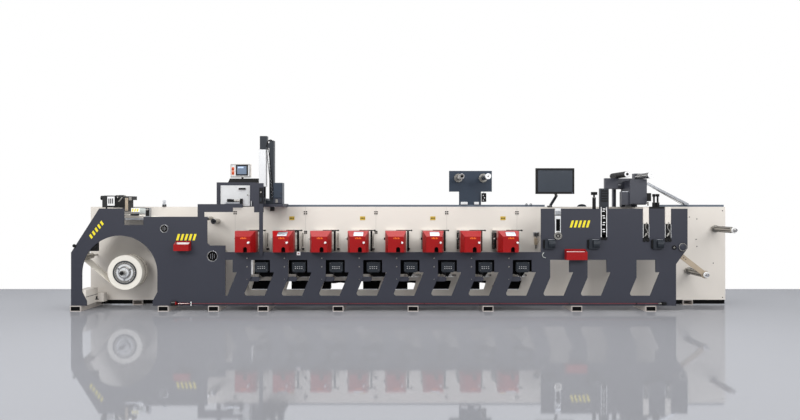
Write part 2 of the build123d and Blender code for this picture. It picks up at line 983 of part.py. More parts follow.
with BuildPart() as ink_trays:
    for x in station_x:
        tray_bottom = unit_bottom + tray_bottom_rise
        tray_top = tray_bottom + tray_thickness
        block(x + tray_left, x + tray_right, cover_back_y, rear_plate_y, tray_bottom, tray_top)
write(ink_trays, "ink_trays")

# Drive boxes, chutes and rollers that show in the windows

drive_box_back = inner_y + drive_box_depth

with BuildPart() as station_drive_boxes:
    for x in station_x:
        left = x + drive_box_left
        right = x + drive_box_right
        box_outline = [
            (left, drive_box_top),
            (right, drive_box_top),
            (right, drive_box_bottom + drive_box_corner),
            (right - drive_box_corner, drive_box_bottom),
            (left + drive_box_corner, drive_box_bottom),
            (left, drive_box_bottom + drive_box_corner),
        ]
        slab(box_outline, inner_y, drive_box_back)
write(station_drive_boxes, "station_drive_boxes")

with BuildPart() as station_chutes:
    for x, left, wing_bottom in zip(station_x, chute_left, chute_wing_bottom):
        chute = [
            (x + left, chute_top),
            (x + chute_right, chute_top),
            (x + chute_right, wing_bottom),
            (x + chute_wing_left, wing_bottom),
            (x + chute_neck, chute_bottom),
            (x + chute_slope_left, chute_shoulder),
            (x + left, chute_shoulder),
        ]
        slab(chute, drive_box_back, drive_box_back + chute_depth)
        for spacer_z in chute_spacer_z:
            bar((x + chute_spacer_offset, spacer_z), chute_spacer_radius, inner_y, drive_box_back)
write(station_chutes, "station_chutes")

with BuildPart() as station_rollers:
    for x in station_x:
        bar((x + tongue_end, tongue_z), station_roller_radius, inner_y + tongue_thickness, wall_y)
        block(
            x + station_bar_left,
            x + station_bar_right,
            wall_y - station_bar_depth,
            wall_y,
            station_bar_z - station_bar_height / 2,
            station_bar_z + station_bar_height / 2,
        )
write(station_rollers, "station_rollers")

# The mast and the plates that carry it

mast_front = mast_y - mast_depth / 2
mast_back = mast_y + mast_depth / 2
mast_base_top = wall_top + mast_base_height
mast_leg_front = front_y - mast_leg_depth

with BuildPart() as mast_base:
    block(mast_base_left, mast_base_right, mast_base_front, wall_back_y, wall_top, mast_base_top)
    front_outline = [
        (mast_plate_neck, mast_plate_bottom),
        (mast_plate_right, mast_plate_bottom),
        (mast_plate_right, mast_plate_top),
        (mast_plate_left, mast_plate_top),
        (mast_plate_left, mast_plate_neck_z + mast_plate_slope),
        (mast_plate_neck, mast_plate_neck_z),
    ]
    slab(front_outline, front_y, front_y + mast_plate_thickness)
    block(
        mast_plate_neck,
        mast_base_left,
        front_y + mast_plate_thickness,
        wall_back_y,
        wall_top,
        mast_base_top,
    )
    with BuildSketch(facing(mast_leg_front)):
        leg_middle = (mast_leg_left + mast_leg_right) / 2
        leg_width = mast_leg_right - mast_leg_left
        foot_z = mast_leg_bottom + leg_width / 2
        with BuildLine():
            Line((mast_leg_right, foot_z), (mast_leg_right, mast_base_top))
            Line((mast_leg_right, mast_base_top), (mast_leg_left, mast_base_top))
            Line((mast_leg_left, mast_base_top), (mast_leg_left, foot_z))
            CenterArc((leg_middle, foot_z), leg_width / 2, 180, 180)
        make_face()
    extrude(amount=-mast_leg_depth)
write(mast_base, "mast_base")

with BuildPart() as mast_column:
    block(mast_left, mast_right, mast_front, mast_back, mast_housing_bottom, mast_housing_top)
write(mast_column, "mast_column")

with BuildPart() as mast_frame:
    mast_head_top = mast_housing_top + mast_head_height
    mast_back_top = mast_housing_top + mast_back_rise
    mast_link_z = mast_housing_top + mast_link_rise
    foot_left = mast_left + mast_foot_inset
    foot_right = mast_right - mast_foot_inset
    block(mast_head_left, mast_head_right, mast_front, mast_back, mast_housing_top, mast_head_top)
    block(foot_left, foot_right, mast_front, mast_back, mast_base_top, mast_housing_bottom)
    block(mast_back_left, mast_back_right, mast_front, mast_back, mast_base_top, mast_back_top)
    block(mast_right, mast_back_left, mast_front, mast_back, mast_link_z, mast_link_z + mast_link_height)
write(mast_frame, "mast_frame")

with BuildPart() as mast_motor:
    block(
        mast_back_right,
        mast_motor_right,
        mast_front - mast_motor_margin,
        mast_back + mast_motor_margin,
        mast_base_top,
        mast_motor_top,
    )
write(mast_motor, "mast_motor")

# Control cabinet on the drive housing, its door and the operator's panel

cabinet_back = cabinet_front + cabinet_depth
door_left = cabinet_door_left + hinge_radius
door_right = cabinet_door_left + cabinet_door_width
door_bottom = wall_top + cabinet_door_margin
door_top = cabinet_top - cabinet_door_head

hinge_y = cabinet_front - door_gap - cabinet_door_thickness / 2
hinge_x = cabinet_door_left - spindle_clearance

with BuildPart() as control_cabinet:
    block(cabinet_left, cabinet_right, cabinet_front, cabinet_back, wall_top, cabinet_top)
    for bottom in (door_bottom + hinge_inset, door_top - hinge_inset - hinge_length):
        with BuildSketch(Plane.XY.offset(bottom)):
            with Locations((hinge_x, hinge_y)):
                Circle(hinge_radius)
        extrude(amount=hinge_length)
        block(
            hinge_x - hinge_radius,
            hinge_x,
            hinge_y,
            cabinet_front,
            bottom,
            bottom + hinge_length,
        )
write(control_cabinet, "control_cabinet")

hood_top = cabinet_top + hood_height

with BuildPart() as cabinet_hood:
    hood = [
        (hood_left - hood_lean, cabinet_top),
        (hood_right, cabinet_top),
        (hood_right, hood_top),
        (hood_left, hood_top),
    ]
    slab(hood, cabinet_front, cabinet_back - hood_back_step)
    with BuildSketch(Plane.XY.offset(hood_top)):
        with Locations((panel_neck_x, panel_y)):
            Circle(panel_neck_radius)
    extrude(amount=panel_bottom - panel_gap - hood_top)
write(cabinet_hood, "cabinet_hood")

door_back = cabinet_front - door_gap
door_front = door_back - cabinet_door_thickness

with BuildPart() as cabinet_door:
    block(door_left, door_right, door_front, door_back, door_bottom, door_top)
    handle_right = door_right - handle_inset
    handle_top = door_top - handle_drop
    block(
        handle_right - handle_width,
        handle_right,
        door_front - handle_depth,
        door_front,
        handle_top - handle_height,
        handle_top,
    )
write(cabinet_door, "cabinet_door")

panel_front = panel_y - panel_thickness / 2
panel_back = panel_y + panel_thickness / 2
with BuildPart() as control_panel:
    block(panel_left, panel_right, panel_front, panel_back, panel_bottom, panel_top)
write(control_panel, "control_panel")

# Film unwinding module: a plate on the wall with two spindles towards the operator

film_bearing_front = wall_y - film_bearing_length

with BuildPart() as film_plate:
    film_outline = [
        (film_stem_left, rail_top),
        (film_stem_right, rail_top),
        (film_stem_right, film_bottom),
        (film_right, film_bottom),
        (film_right, film_top),
        (film_left, film_top),
        (film_left, film_bottom),
        (film_stem_left, film_bottom),
    ]
    slab(film_outline, wall_y, wall_back_y)
    for x in film_spindle_x:
        bar((x, film_spindle_z), film_bearing_radius, film_bearing_front, wall_y)
        bore = film_stub_radius + spindle_clearance
        bar((x, film_spindle_z), bore, film_bearing_front, wall_back_y, mode=Mode.SUBTRACT)
write(film_plate, "film_plate")

for node, x in zip(("film_spindle_left", "film_spindle_right"), film_spindle_x):
    flange_back = film_bearing_front - spindle_clearance
    centre = (x, film_spindle_z)
    with BuildPart() as spindle:
        bar(centre, film_stub_radius, flange_back, wall_back_y)
        bar(centre, film_flange_radius, flange_back - film_flange_thickness, flange_back)
        bar(centre, film_shaft_radius, front_y, flange_back)
    write(spindle, node)

# Monitor on its arm

monitor_back = monitor_y + monitor_thickness / 2
pivot_y = monitor_back + monitor_boss
arm_top = monitor_pivot_z - monitor_pivot_height / 2

with BuildPart() as monitor:
    block(
        monitor_left,
        monitor_right,
        monitor_back - monitor_thickness,
        monitor_back,
        monitor_bottom,
        monitor_top,
    )
    with BuildSketch(Plane.XY.offset(arm_top + monitor_gap)):
        with Locations((monitor_pivot_x, pivot_y)):
            Circle(monitor_pivot_radius)
    extrude(amount=monitor_pivot_height)
    block(
        monitor_pivot_x - monitor_neck_half,
        monitor_pivot_x + monitor_neck_half,
        monitor_back,
        pivot_y,
        arm_top + monitor_neck_inset,
        arm_top + monitor_pivot_height - monitor_neck_inset,
    )
write(monitor, "monitor")

arm_foot_y = (wall_y + wall_back_y) / 2
arm_route = [
    (arm_foot_x, arm_foot_y, wall_top),
    arm_bend,
    (monitor_pivot_x, pivot_y, arm_elbow_z),
    (monitor_pivot_x, pivot_y, arm_top),
]

with BuildPart() as monitor_arm:
    for start, end in zip(arm_route[:-1], arm_route[1:]):
        run = Vector(*end) - Vector(*start)
        with BuildSketch(Plane(origin=start, z_dir=run)):
            Circle(arm_radius)
        extrude(amount=run.length)
    for place in arm_route[1:-1]:
        with Locations(place):
            Sphere(arm_radius)
    with BuildSketch(Plane.XY.offset(wall_top)):
        with Locations((arm_foot_x, arm_foot_y)):
            Circle(arm_base_radius)
    extrude(amount=arm_base_height)
    below = wall_top - 2 * arm_base_radius
    foot_left = arm_foot_x - 2 * arm_base_radius
    foot_right = arm_foot_x + 2 * arm_base_radius
    foot_near = arm_foot_y - 2 * arm_base_radius
    foot_far = arm_foot_y + 2 * arm_base_radius
    block(foot_left, foot_right, foot_near, foot_far, below, wall_top, mode=Mode.SUBTRACT)
write(monitor_arm, "monitor_arm")

# Die-cutting stations: carriages in the slots, cylinders behind them, knobs and the bridge

with BuildPart() as die_carriages:
    for x, top in zip(die_slot_x, carriage_top):
        block(
            x - carriage_width / 2,
            x + carriage_width / 2,
            front_y + carriage_inset,
            inner_y + carriage_depth,
            die_slot_bottom,
            top,
        )
write(die_carriages, "die_carriages")

with BuildPart() as die_cylinders:
    for x in die_slot_x:
        centre = (x, die_slot_bottom + die_cylinder_rise)
        bar(centre, die_cylinder_radius, inner_y + carriage_depth, wall_y)
write(die_cylinders, "die_cylinders")

with BuildPart() as die_knobs:
    block(die_pad_left, die_pad_right, front_y, inner_y, die_plate_top, die_pad_top)
    knob_y = (front_y + inner_y) / 2
    knobs = zip(die_knob_x, die_knob_top, die_knob_radius, die_knob_height, die_knob_boss)
    for x, top, radius, height, boss in knobs:
        bottom = die_pad_top if die_pad_left < x < die_pad_right else die_plate_top
        turned = [
            (bottom, bottom + boss, die_knob_boss_radius),
            (bottom + boss, top - height, die_knob_stem_radius),
            (top - height, top, radius),
        ]
        for low, high, turned_radius in turned:
            with BuildSketch(Plane.XY.offset(low)):
                with Locations((x, knob_y)):
                    Circle(turned_radius)
            extrude(amount=high - low)
write(die_knobs, "die_knobs")

with BuildPart() as die_drive_heads:
    block(bridge_left, bridge_right, front_y, front_y + bridge_depth, die_plate_top, bridge_top)
    for x in drive_head_x:
        block(
            x - drive_head_width / 2,
            x + drive_head_width / 2,
            front_y - drive_head_depth,
            front_y,
            drive_head_z - drive_head_height,
            drive_head_z,
        )
write(die_drive_heads, "die_drive_heads")

with BuildPart() as tool_trays:
    for left, right, bottom, front_top, back_top in tray_places:
        tray_front = front_y - tool_tray_depth
        with BuildSketch(Plane.YZ.offset(left)) as tray_side:
            with BuildLine():
                Polyline(
                    (tray_front, bottom),
                    (tray_front, front_top),
                    (front_y, back_top),
                    (front_y, bottom),
                    close=True,
                )
            make_face()
        extrude(tray_side.sketch, amount=right - left)
        block(
            left + tool_tray_wall,
            right - tool_tray_wall,
            tray_front + tool_tray_wall,
            front_y - tool_tray_wall,
            bottom + tool_tray_wall,
            back_top,
            mode=Mode.SUBTRACT,
        )
write(tool_trays, "tool_trays")

# Matrix rewinder on the wall: its post and box, the panel, the winding shaft and the roller bar

matrix_back = wall_y - matrix_overhang
matrix_box_top = matrix_roller[1] - matrix_roller_radius
matrix_box_back = wall_y + matrix_post_depth
matrix_arm_front = matrix_box_front + matrix_box_depth
matrix_inner_left = matrix_body_left + matrix_body_inset
matrix_skin_back = matrix_body_front + matrix_skin_depth
matrix_block_front = wall_back_y - matrix_block_depth

with BuildPart() as matrix_frame:
    block(matrix_post_left, matrix_post_right, wall_y, matrix_box_back, wall_top, matrix_box_bottom)
    block(
        matrix_box_left,
        matrix_box_right,
        matrix_box_front,
        matrix_arm_front,
        matrix_box_bottom,
        matrix_box_top,
    )
    block(
        matrix_post_left,
        matrix_arm_right,
        matrix_arm_front,
        matrix_box_back,
        matrix_box_bottom,
        matrix_box_top,
    )
    block(
        matrix_body_left,
        matrix_body_right,
        matrix_body_front,
        matrix_skin_back,
        matrix_body_bottom,
        matrix_body_top,
    )
    block(
        matrix_inner_left,
        matrix_body_right,
        matrix_skin_back,
        matrix_back,
        matrix_body_bottom,
        matrix_body_top,
    )
    block(matrix_inner_left, matrix_body_right, matrix_back, wall_back_y, wall_top, matrix_body_top)
    block(
        matrix_panel_left,
        matrix_panel_right,
        matrix_panel_y,
        matrix_body_front,
        matrix_panel_bottom,
        matrix_panel_top,
    )
    block(
        matrix_panel_left,
        matrix_body_right,
        matrix_body_front,
        matrix_back,
        matrix_body_top,
        matrix_panel_top - matrix_panel_rim,
    )
    block(
        matrix_block_left,
        matrix_body_right,
        matrix_block_front,
        wall_back_y,
        matrix_body_top,
        matrix_block_bottom,
    )
    block(
        matrix_block_left,
        matrix_block_right,
        matrix_block_front,
        wall_back_y,
        matrix_block_bottom,
        matrix_block_top,
    )
    bore = matrix_stub_radius + spindle_clearance
    bar(matrix_spindle, bore, matrix_block_front, wall_back_y, mode=Mode.SUBTRACT)
write(matrix_frame, "matrix_frame")

with BuildPart() as matrix_rewind_shaft:
    shoulder_y = matrix_block_front - spindle_clearance
    bar(matrix_spindle, matrix_stub_radius, shoulder_y, wall_back_y)
    bar(matrix_spindle, matrix_spindle_radius, matrix_spindle_front, shoulder_y)
    disc_front = matrix_spindle_front - matrix_disc_thickness
    bar(matrix_spindle, matrix_disc_radius, disc_front, matrix_spindle_front)
write(matrix_rewind_shaft, "matrix_rewind_shaft")

with BuildPart() as matrix_roller_bar:
    bar(matrix_roller, matrix_roller_radius, matrix_roller_front, matrix_box_back)
    bar(matrix_roller, matrix_tip_radius, matrix_roller_front - matrix_tip_length, matrix_roller_front)
write(matrix_roller_bar, "matrix_roller_bar")

with BuildPart() as cable_tray:
    tray_high_x, tray_high_z = cable_tray_high
    tray_low_x, tray_low_z = cable_tray_low
    tray_outline = [
        (matrix_panel_right, tray_high_z),
        (tray_high_x, tray_high_z),
        (tray_low_x, tray_low_z),
        (tray_low_x, rail_top),
        (tray_low_x + cable_tray_foot, rail_top),
        (tray_low_x + cable_tray_foot, tray_low_z + cable_tray_thickness / 4),
        (tray_high_x + cable_tray_thickness / 4, tray_high_z + cable_tray_thickness),
        (matrix_panel_right, tray_high_z + cable_tray_thickness),
    ]
    slab(tray_outline, wall_back_y - cable_tray_width, wall_back_y)
write(cable_tray, "cable_tray")

# Rewinder: two shafts held by the wall and the flat arm behind the plate that steadies the lower one

rewind_bearing_front = wall_y - rewind_bearing_length

with BuildPart() as shaft_bearings:
    bar(roll_centre, bearing_radius, bearing_front, wall_y)
    bar(roll_centre, spindle_radius + spindle_clearance, bearing_front, wall_y, mode=Mode.SUBTRACT)
    for centre in (rewind_upper, rewind_lower):
        bar(centre, rewind_bearing_radius, rewind_bearing_front, wall_y)
        bore = rewind_stub_radius + spindle_clearance
        bar(centre, bore, rewind_bearing_front, wall_y, mode=Mode.SUBTRACT)
write(shaft_bearings, "shaft_bearings")

for node, centre in (("upper_rewind_shaft", rewind_upper), ("lower_rewind_shaft", rewind_lower)):
    flange_back = rewind_bearing_front - spindle_clearance
    with BuildPart() as rewind_shaft:
        bar(centre, rewind_stub_radius, flange_back, wall_y - spindle_clearance)
        bar(centre, rewind_flange_radius, flange_back - rewind_flange_thickness, flange_back)
        bar(centre, rewind_shaft_radius, front_y, flange_back)
        bar(centre, rewind_disc_radius, front_y - rewind_disc_thickness, front_y)
        bar(centre, rewind_stub_radius, front_y - rewind_stub_length, front_y)
    write(rewind_shaft, node)

arm_back = inner_y + support_arm_thickness

with BuildPart() as shaft_support_arm:
    run_x = rewind_lower[0] - support_arm_start[0]
    run_z = rewind_lower[1] - support_arm_start[1]
    half = support_arm_width / 2 / hypot(run_x, run_z)
    arm_outline = [
        (support_arm_start[0] - half * run_z, support_arm_start[1] + half * run_x),
        (rewind_lower[0] - half * run_z, rewind_lower[1] + half * run_x),
        (rewind_lower[0] + half * run_z, rewind_lower[1] - half * run_x),
        (support_arm_start[0] + half * run_z, support_arm_start[1] - half * run_x),
    ]
    slab(arm_outline, inner_y, arm_back)
    bar(rewind_lower, support_eye_radius, inner_y, arm_back)
    bar(rewind_lower, rewind_shaft_radius + spindle_clearance, inner_y, arm_back, mode=Mode.SUBTRACT)
write(shaft_support_arm, "shaft_support_arm")

# Emergency pull cord along the foot of the plates

cord_y = front_y - cord_stand_off

with BuildPart() as pull_cord:
    rod_along_x(cord_left, cord_right, cord_y, cord_z, cord_radius)
write(pull_cord, "pull_cord")

with BuildPart() as cord_fittings:
    for x in eye_x:
        rod_along_x(x - eye_thickness / 2, x + eye_thickness / 2, cord_y, cord_z, eye_radius)
        eye_left = x - eye_thickness / 2
        eye_right = x + eye_thickness / 2
        block(eye_left, eye_right, cord_y, front_y, cord_z - eye_stem_half, cord_z + eye_stem_half)
        with BuildSketch(Plane.YZ.offset(eye_left)):
            with Locations((cord_y, cord_z)):
                Circle(cord_radius + cord_clearance)
        extrude(amount=eye_thickness, mode=Mode.SUBTRACT)
    switch_top = switch_bottom + switch_height
    block(switch_left, cord_left, cord_y - switch_lead, front_y, switch_bottom, switch_top)
    block(
        cord_right,
        cord_right + anchor_length,
        cord_y - anchor_lead,
        front_y,
        cord_z - anchor_height / 2,
        cord_z + anchor_height / 2,
    )
write(cord_fittings, "cord_fittings")

# Drive side: covers on the wall, their doors, the motors below and the kick plates between the feet

cover_pitch = (housing_right - housing_left + groove) / housing_panel_count
housing_back = wall_back_y + housing_depth

with BuildPart() as rear_covers:
    for i in range(housing_panel_count):
        left = housing_left + i * cover_pitch
        block(left, left + cover_pitch - groove, wall_back_y, housing_back, housing_bottom, wall_top)
write(rear_covers, "rear_covers")

with BuildPart() as rear_doors:
    for i in range(housing_panel_count):
        left = housing_left + i * cover_pitch + door_margin
        right = housing_left + (i + 1) * cover_pitch - groove - door_margin
        block(
            left,
            right,
            housing_back,
            housing_back + door_thickness,
            housing_bottom + door_margin,
            wall_top - door_margin,
        )
write(rear_doors, "rear_doors")

with BuildPart() as rear_motors:
    motor_back = wall_back_y + rear_motor_depth
    for x, (left, right) in zip(station_x, rear_motor_spans):
        block(x + left, x + right, wall_back_y, motor_back, housing_bottom - rear_motor_drop, housing_bottom)
    all_foot_x = sorted(foot_x + short_foot_x)
    kick_reach = foot_width / 2 + kick_gap
    kick_spans = [(a + kick_reach, b - kick_reach) for a, b in zip(all_foot_x[:-1], all_foot_x[1:])]
    kick_spans.append((all_foot_x[-1] + kick_reach, right_end))
    for left, right in kick_spans:
        block(left, right, wall_back_y, wall_back_y + kick_thickness, kick_bottom, kick_top)
write(rear_motors, "rear_motors")
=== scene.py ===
"""The looks of a narrow-web label press, laid out as an add-on and run as a script.

Lengths in the piece functions are millimetres in the press's own frame. write_piece turns them into
metres.
"""

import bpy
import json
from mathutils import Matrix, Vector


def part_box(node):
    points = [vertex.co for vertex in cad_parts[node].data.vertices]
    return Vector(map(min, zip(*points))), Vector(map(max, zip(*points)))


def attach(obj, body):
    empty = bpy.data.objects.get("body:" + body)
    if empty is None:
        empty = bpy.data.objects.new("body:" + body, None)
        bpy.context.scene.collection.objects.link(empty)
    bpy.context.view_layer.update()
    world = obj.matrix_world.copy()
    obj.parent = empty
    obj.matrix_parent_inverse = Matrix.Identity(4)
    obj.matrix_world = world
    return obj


bl_info = {
    "name": "Label press",
    "version": (1, 0, 0),
    "blender": (4, 5, 0),
    "location": "View3D > Sidebar > Label press",
    "description": "Makes the finishes, the fittings and the studio of a narrow-web label press",
    "category": "Add Mesh",
}

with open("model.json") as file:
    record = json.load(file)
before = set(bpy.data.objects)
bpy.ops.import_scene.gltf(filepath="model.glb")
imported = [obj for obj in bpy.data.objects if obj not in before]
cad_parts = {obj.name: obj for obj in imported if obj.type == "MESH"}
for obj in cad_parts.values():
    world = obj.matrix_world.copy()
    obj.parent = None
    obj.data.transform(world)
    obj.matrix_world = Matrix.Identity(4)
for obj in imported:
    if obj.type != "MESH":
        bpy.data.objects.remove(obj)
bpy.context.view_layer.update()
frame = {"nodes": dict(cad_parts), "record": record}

import json
from math import pi

import bmesh
import bpy
import numpy as np

MILLIMETRE = 0.001
SHARP_ANGLE = 35 * pi / 180
MERGE_DISTANCE = 1e-6


# Places in millimetres, some read from the frame and the rest given

def corners(node):
    """Lowest and highest corner of a CAD node."""
    low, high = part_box(node)
    return np.array(low) / MILLIMETRE, np.array(high) / MILLIMETRE


covers_low = corners("print_covers")[0]
plate_low, plate_high = corners("die_side_plate_2")
wall_low, wall_high = corners("upper_back_wall")
roll_low, roll_high = corners("paper_roll")
PLATE_FRONT = plate_low[1]
PLATE_BACK = plate_high[1]
PLATE_TOP = covers_low[2]
WALL_FRONT = wall_low[1]
WALL_TOP = wall_high[2]
STATIONS = 8
PITCH = 560.0
COVER_TO_WINDOW = 228.0
COVER_KNOB_LENGTH = 66.0
WINDOW_X = covers_low[0] + COVER_TO_WINDOW + PITCH * np.arange(STATIONS)
UNIT_OFFSETS = [(x - WINDOW_X[0], 0, 0) for x in WINDOW_X]
ROLL_CENTRE = ((roll_low[0] + roll_high[0]) / 2, (roll_low[2] + roll_high[2]) / 2)
MATRIX_SHAFT = (3560, 2036)
MATRIX_ROLLER = (3208, 2052)
UPPER_SHAFT = (4802, 1213)
LOWER_SHAFT = (4384, 546)
FILM_SHAFT_X = (732, 1125)
FILM_SHAFT_Z = 2020
HOLDER_SLOT_X = (3488, 3818)
DRIVE_HEAD_X = (2042, 2702, 3658)
PORTS = ((-3726, 1236, 60), (-3005, 823, 80))
CORD_Y = -516
CORD_Z = 118
REAR_DOORS = 8
DOOR_GAP = 88
FRONT = (0, -1, 0)
UP = (0, 0, 1)
FLOOR_REACH = 26.0
BACKDROP_HEIGHT = 12.0
WORLD_LIGHT = 0.55


# Properties

def length(name, text, value):
    return bpy.props.FloatProperty(name=name, description=text, default=value, unit="LENGTH")


def colour(name, text, value):
    return bpy.props.FloatVectorProperty(
        name=name, description=text, default=value, size=3, min=0, max=1, subtype="COLOR_GAMMA"
    )


class PressColours(bpy.types.PropertyGroup):
    """Colours of the press, as they look on a screen"""
    plates: colour("Side plates", "Paint of the operator's side plates", (0.205, 0.212, 0.250))
    wall: colour("Back wall", "Paint of the back wall", (0.87, 0.845, 0.812))
    covers: colour("Print covers", "Paint of the print unit covers", (0.58, 0.02, 0.03))
    machine: colour("Drive boxes", "Paint of boxes, heads and the mast", (0.135, 0.155, 0.182))
    slate_blue: colour("Blue grey", "Paint of the film module and the mast motor", (0.175, 0.215, 0.268))
    black: colour("Black parts", "Paint of brackets, chutes and knobs", (0.045, 0.047, 0.052))
    steel: colour("Steel", "Turned and brushed steel", (0.66, 0.65, 0.63))
    paper: colour("Paper", "Label stock on the roll", (0.945, 0.925, 0.885))
    marks: colour("Marks", "Plain stripes and plates", (0.92, 0.85, 0.13))
    cord: colour("Pull cord", "Sheath of the pull cord", (0.42, 0.10, 0.13))


class PressSizes(bpy.types.PropertyGroup):
    """Sizes of the fittings that the looks add"""
    screw: length("Screw radius", "Radius of a plate screw's head", 0.011)
    screw_height: length("Screw height", "How far a screw's head stands out", 0.006)
    knob: length("Cover knob radius", "Radius of the round knob on a print cover", 0.0155)


class StudioSettings(bpy.types.PropertyGroup):
    """The studio around the press"""
    camera_x: length("Camera X", "Place of the camera along the press", -0.195)
    camera_y: length("Camera Y", "Place of the camera in front of the press", -10.203)
    camera_z: length("Camera height", "Height of the camera", 1.575)
    lens: bpy.props.FloatProperty(name="Lens", description="Focal length on a 36 mm frame", default=29.2)
    horizon: bpy.props.FloatProperty(
        name="Shift", description="Vertical shift that sets the horizon", default=-0.005
    )
    backdrop_y: length("Backdrop", "Distance of the backdrop behind the press", 2.11)
    floor_grey: colour("Floor", "Colour of the floor", (0.595, 0.60, 0.618))
    mirror: bpy.props.FloatProperty(name="Mirror", description="Share of mirror in the floor", default=0.34)


# Surfaces as whole arrays

def axes_frame(axis):
    """Two unit vectors across an axis, and the axis as a unit vector."""
    axis = np.asarray(axis, float)
    axis = axis / np.linalg.norm(axis)
    helper = np.array([0.0, 0.0, 1.0]) if abs(axis[2]) < 0.9 else np.array([1.0, 0.0, 0.0])
    side = np.cross(helper, axis)
    side /= np.linalg.norm(side)
    return side, np.cross(axis, side), axis


class Shape:
    """A piece of mesh: vertices, groups of faces with equally many corners, and a paint number."""

    def __init__(self, verts, groups, paint=0):
        self.verts = np.asarray(verts, float).reshape(-1, 3)
        self.groups = [np.asarray(group, int) for group in groups]
        self.paint = paint

    def copies(self, offsets):
        """One copy for each row of offsets: every vertex plus the row."""
        offsets = np.asarray(offsets, float).reshape(-1, 3)
        count = len(self.verts)
        verts = (self.verts[None, :, :] + offsets[:, None, :]).reshape(-1, 3)
        starts = (np.arange(len(offsets)) * count)[:, None, None]
        groups = [(group[None, :, :] + starts).reshape(-1, group.shape[1]) for group in self.groups]
        return Shape(verts, groups, self.paint)


def skin(rings, caps=True, paint=0):
    """A surface through rings of points: face (i, j) joins points j and j + 1 of rings i and i + 1."""
    rings = np.asarray(rings, float)
    rows, columns = rings.shape[:2]
    number = np.arange(rows * columns).reshape(rows, columns)
    number = np.concatenate([number, number[:, :1]], axis=1)
    quads = np.stack([number[:-1, :-1], number[:-1, 1:], number[1:, 1:], number[1:, :-1]], axis=-1)
    groups = [quads.reshape(-1, 4)]
    if caps:
        ends = np.stack([np.arange(columns)[::-1], np.arange(columns) + (rows - 1) * columns])
        groups.append(ends)
    return Shape(rings.reshape(-1, 3), groups, paint)


def lathe(profile, centre, axis=(0, 1, 0), steps=32, paint=0, caps=True):
    """A turned shape: point (r, h) of the profile runs round the axis at radius r and height h."""
    side, up, along = axes_frame(axis)
    angle = np.linspace(0, 2 * pi, steps, endpoint=False)
    round_line = np.cos(angle)[:, None] * side + np.sin(angle)[:, None] * up
    profile = np.asarray(profile, float)
    rings = profile[:, 0, None, None] * round_line[None] + (profile[:, 1, None] * along)[:, None, :]
    return skin(rings + np.asarray(centre, float), caps=caps, paint=paint)


def rod(start, end, radius, steps=16, bevel=0.0, paint=0):
    """A round bar from one point to another, with its rims bevelled."""
    start, end = np.asarray(start, float), np.asarray(end, float)
    reach = np.linalg.norm(end - start)
    profile = [(radius, 0), (radius, reach)]
    if bevel:
        profile = [(radius - bevel, 0), (radius, bevel), (radius, reach - bevel), (radius - bevel, reach)]
    return lathe(profile, start, end - start, steps, paint)


def brick(low, high, bevel=2.0, paint=0):
    """A box with bevelled edges: four rings of eight points, the outer two drawn in by the bevel."""
    low, high = np.minimum(low, high).astype(float), np.maximum(low, high).astype(float)
    b = min(bevel, *(0.45 * (high - low)))
    x0, y0, z0 = low
    x1, y1, z1 = high

    def level(z, inset):
        i, j = inset, inset + b
        return [
            (x0 + j, y0 + i, z), (x1 - j, y0 + i, z), (x1 - i, y0 + j, z), (x1 - i, y1 - j, z),
            (x1 - j, y1 - i, z), (x0 + j, y1 - i, z), (x0 + i, y1 - j, z), (x0 + i, y0 + j, z),
        ]

    return skin([level(z0, b), level(z0 + b, 0), level(z1 - b, 0), level(z1, b)], paint=paint)


def inset_outline(outline, inset):
    """An outline in X and Z drawn in by the same distance along both sides of each corner."""
    outline = np.asarray(outline, float)
    before = outline - np.roll(outline, 1, axis=0)
    after = np.roll(outline, -1, axis=0) - outline
    before /= np.linalg.norm(before, axis=1)[:, None]
    after /= np.linalg.norm(after, axis=1)[:, None]
    normal_a = np.stack([-before[:, 1], before[:, 0]], axis=1)
    normal_b = np.stack([-after[:, 1], after[:, 0]], axis=1)
    share = 1 + np.sum(normal_a * normal_b, axis=1)
    return outline + inset * (normal_a + normal_b) / share[:, None]


def plate(outline, y0, y1, bevel=1.5, paint=0):
    """A slab of an outline in X and Z, anticlockwise as seen from the front, with bevelled rims."""
    outline = np.asarray(outline, float)
    rings = []
    for y, inset in ((y0, bevel), (y0 + bevel, 0), (y1 - bevel, 0), (y1, bevel)):
        flat = inset_outline(outline, inset) if inset else outline
        rings.append(np.stack([flat[:, 0], np.full(len(flat), y), flat[:, 1]], axis=1))
    return skin(rings, paint=paint)


def tube(points, radius, steps=10, paint=0, smooth=6):
    """A tube along a smooth line: a cubic through the points, with rings square to it."""
    points = np.asarray(points, float)
    if smooth > 1 and len(points) > 2:
        ends = np.concatenate([[2 * points[0] - points[1]], points, [2 * points[-1] - points[-2]]])
        t = np.linspace(0, 1, smooth, endpoint=False)[:, None, None]
        a, b, c, d = ends[:-3], ends[1:-2], ends[2:-1], ends[3:]
        bend, twist = 2 * a - 5 * b + 4 * c - d, 3 * b - a - 3 * c + d
        line = 0.5 * (2 * b + (c - a) * t + bend * t**2 + twist * t**3)
        points = np.concatenate([line.transpose(1, 0, 2).reshape(-1, 3), points[-1:]])
    run = np.gradient(points, axis=0)
    run /= np.linalg.norm(run, axis=1)[:, None]
    helper = axes_frame(np.abs(run).mean(axis=0) + 1e-6)[0]
    side = np.cross(run, np.cross(helper, run))
    side /= np.linalg.norm(side, axis=1)[:, None]
    up = np.cross(run, side)
    angle = np.linspace(0, 2 * pi, steps, endpoint=False)
    round_line = np.cos(angle)[None, :, None] * side[:, None] + np.sin(angle)[None, :, None] * up[:, None]
    return skin(points[:, None] + radius * round_line, paint=paint)


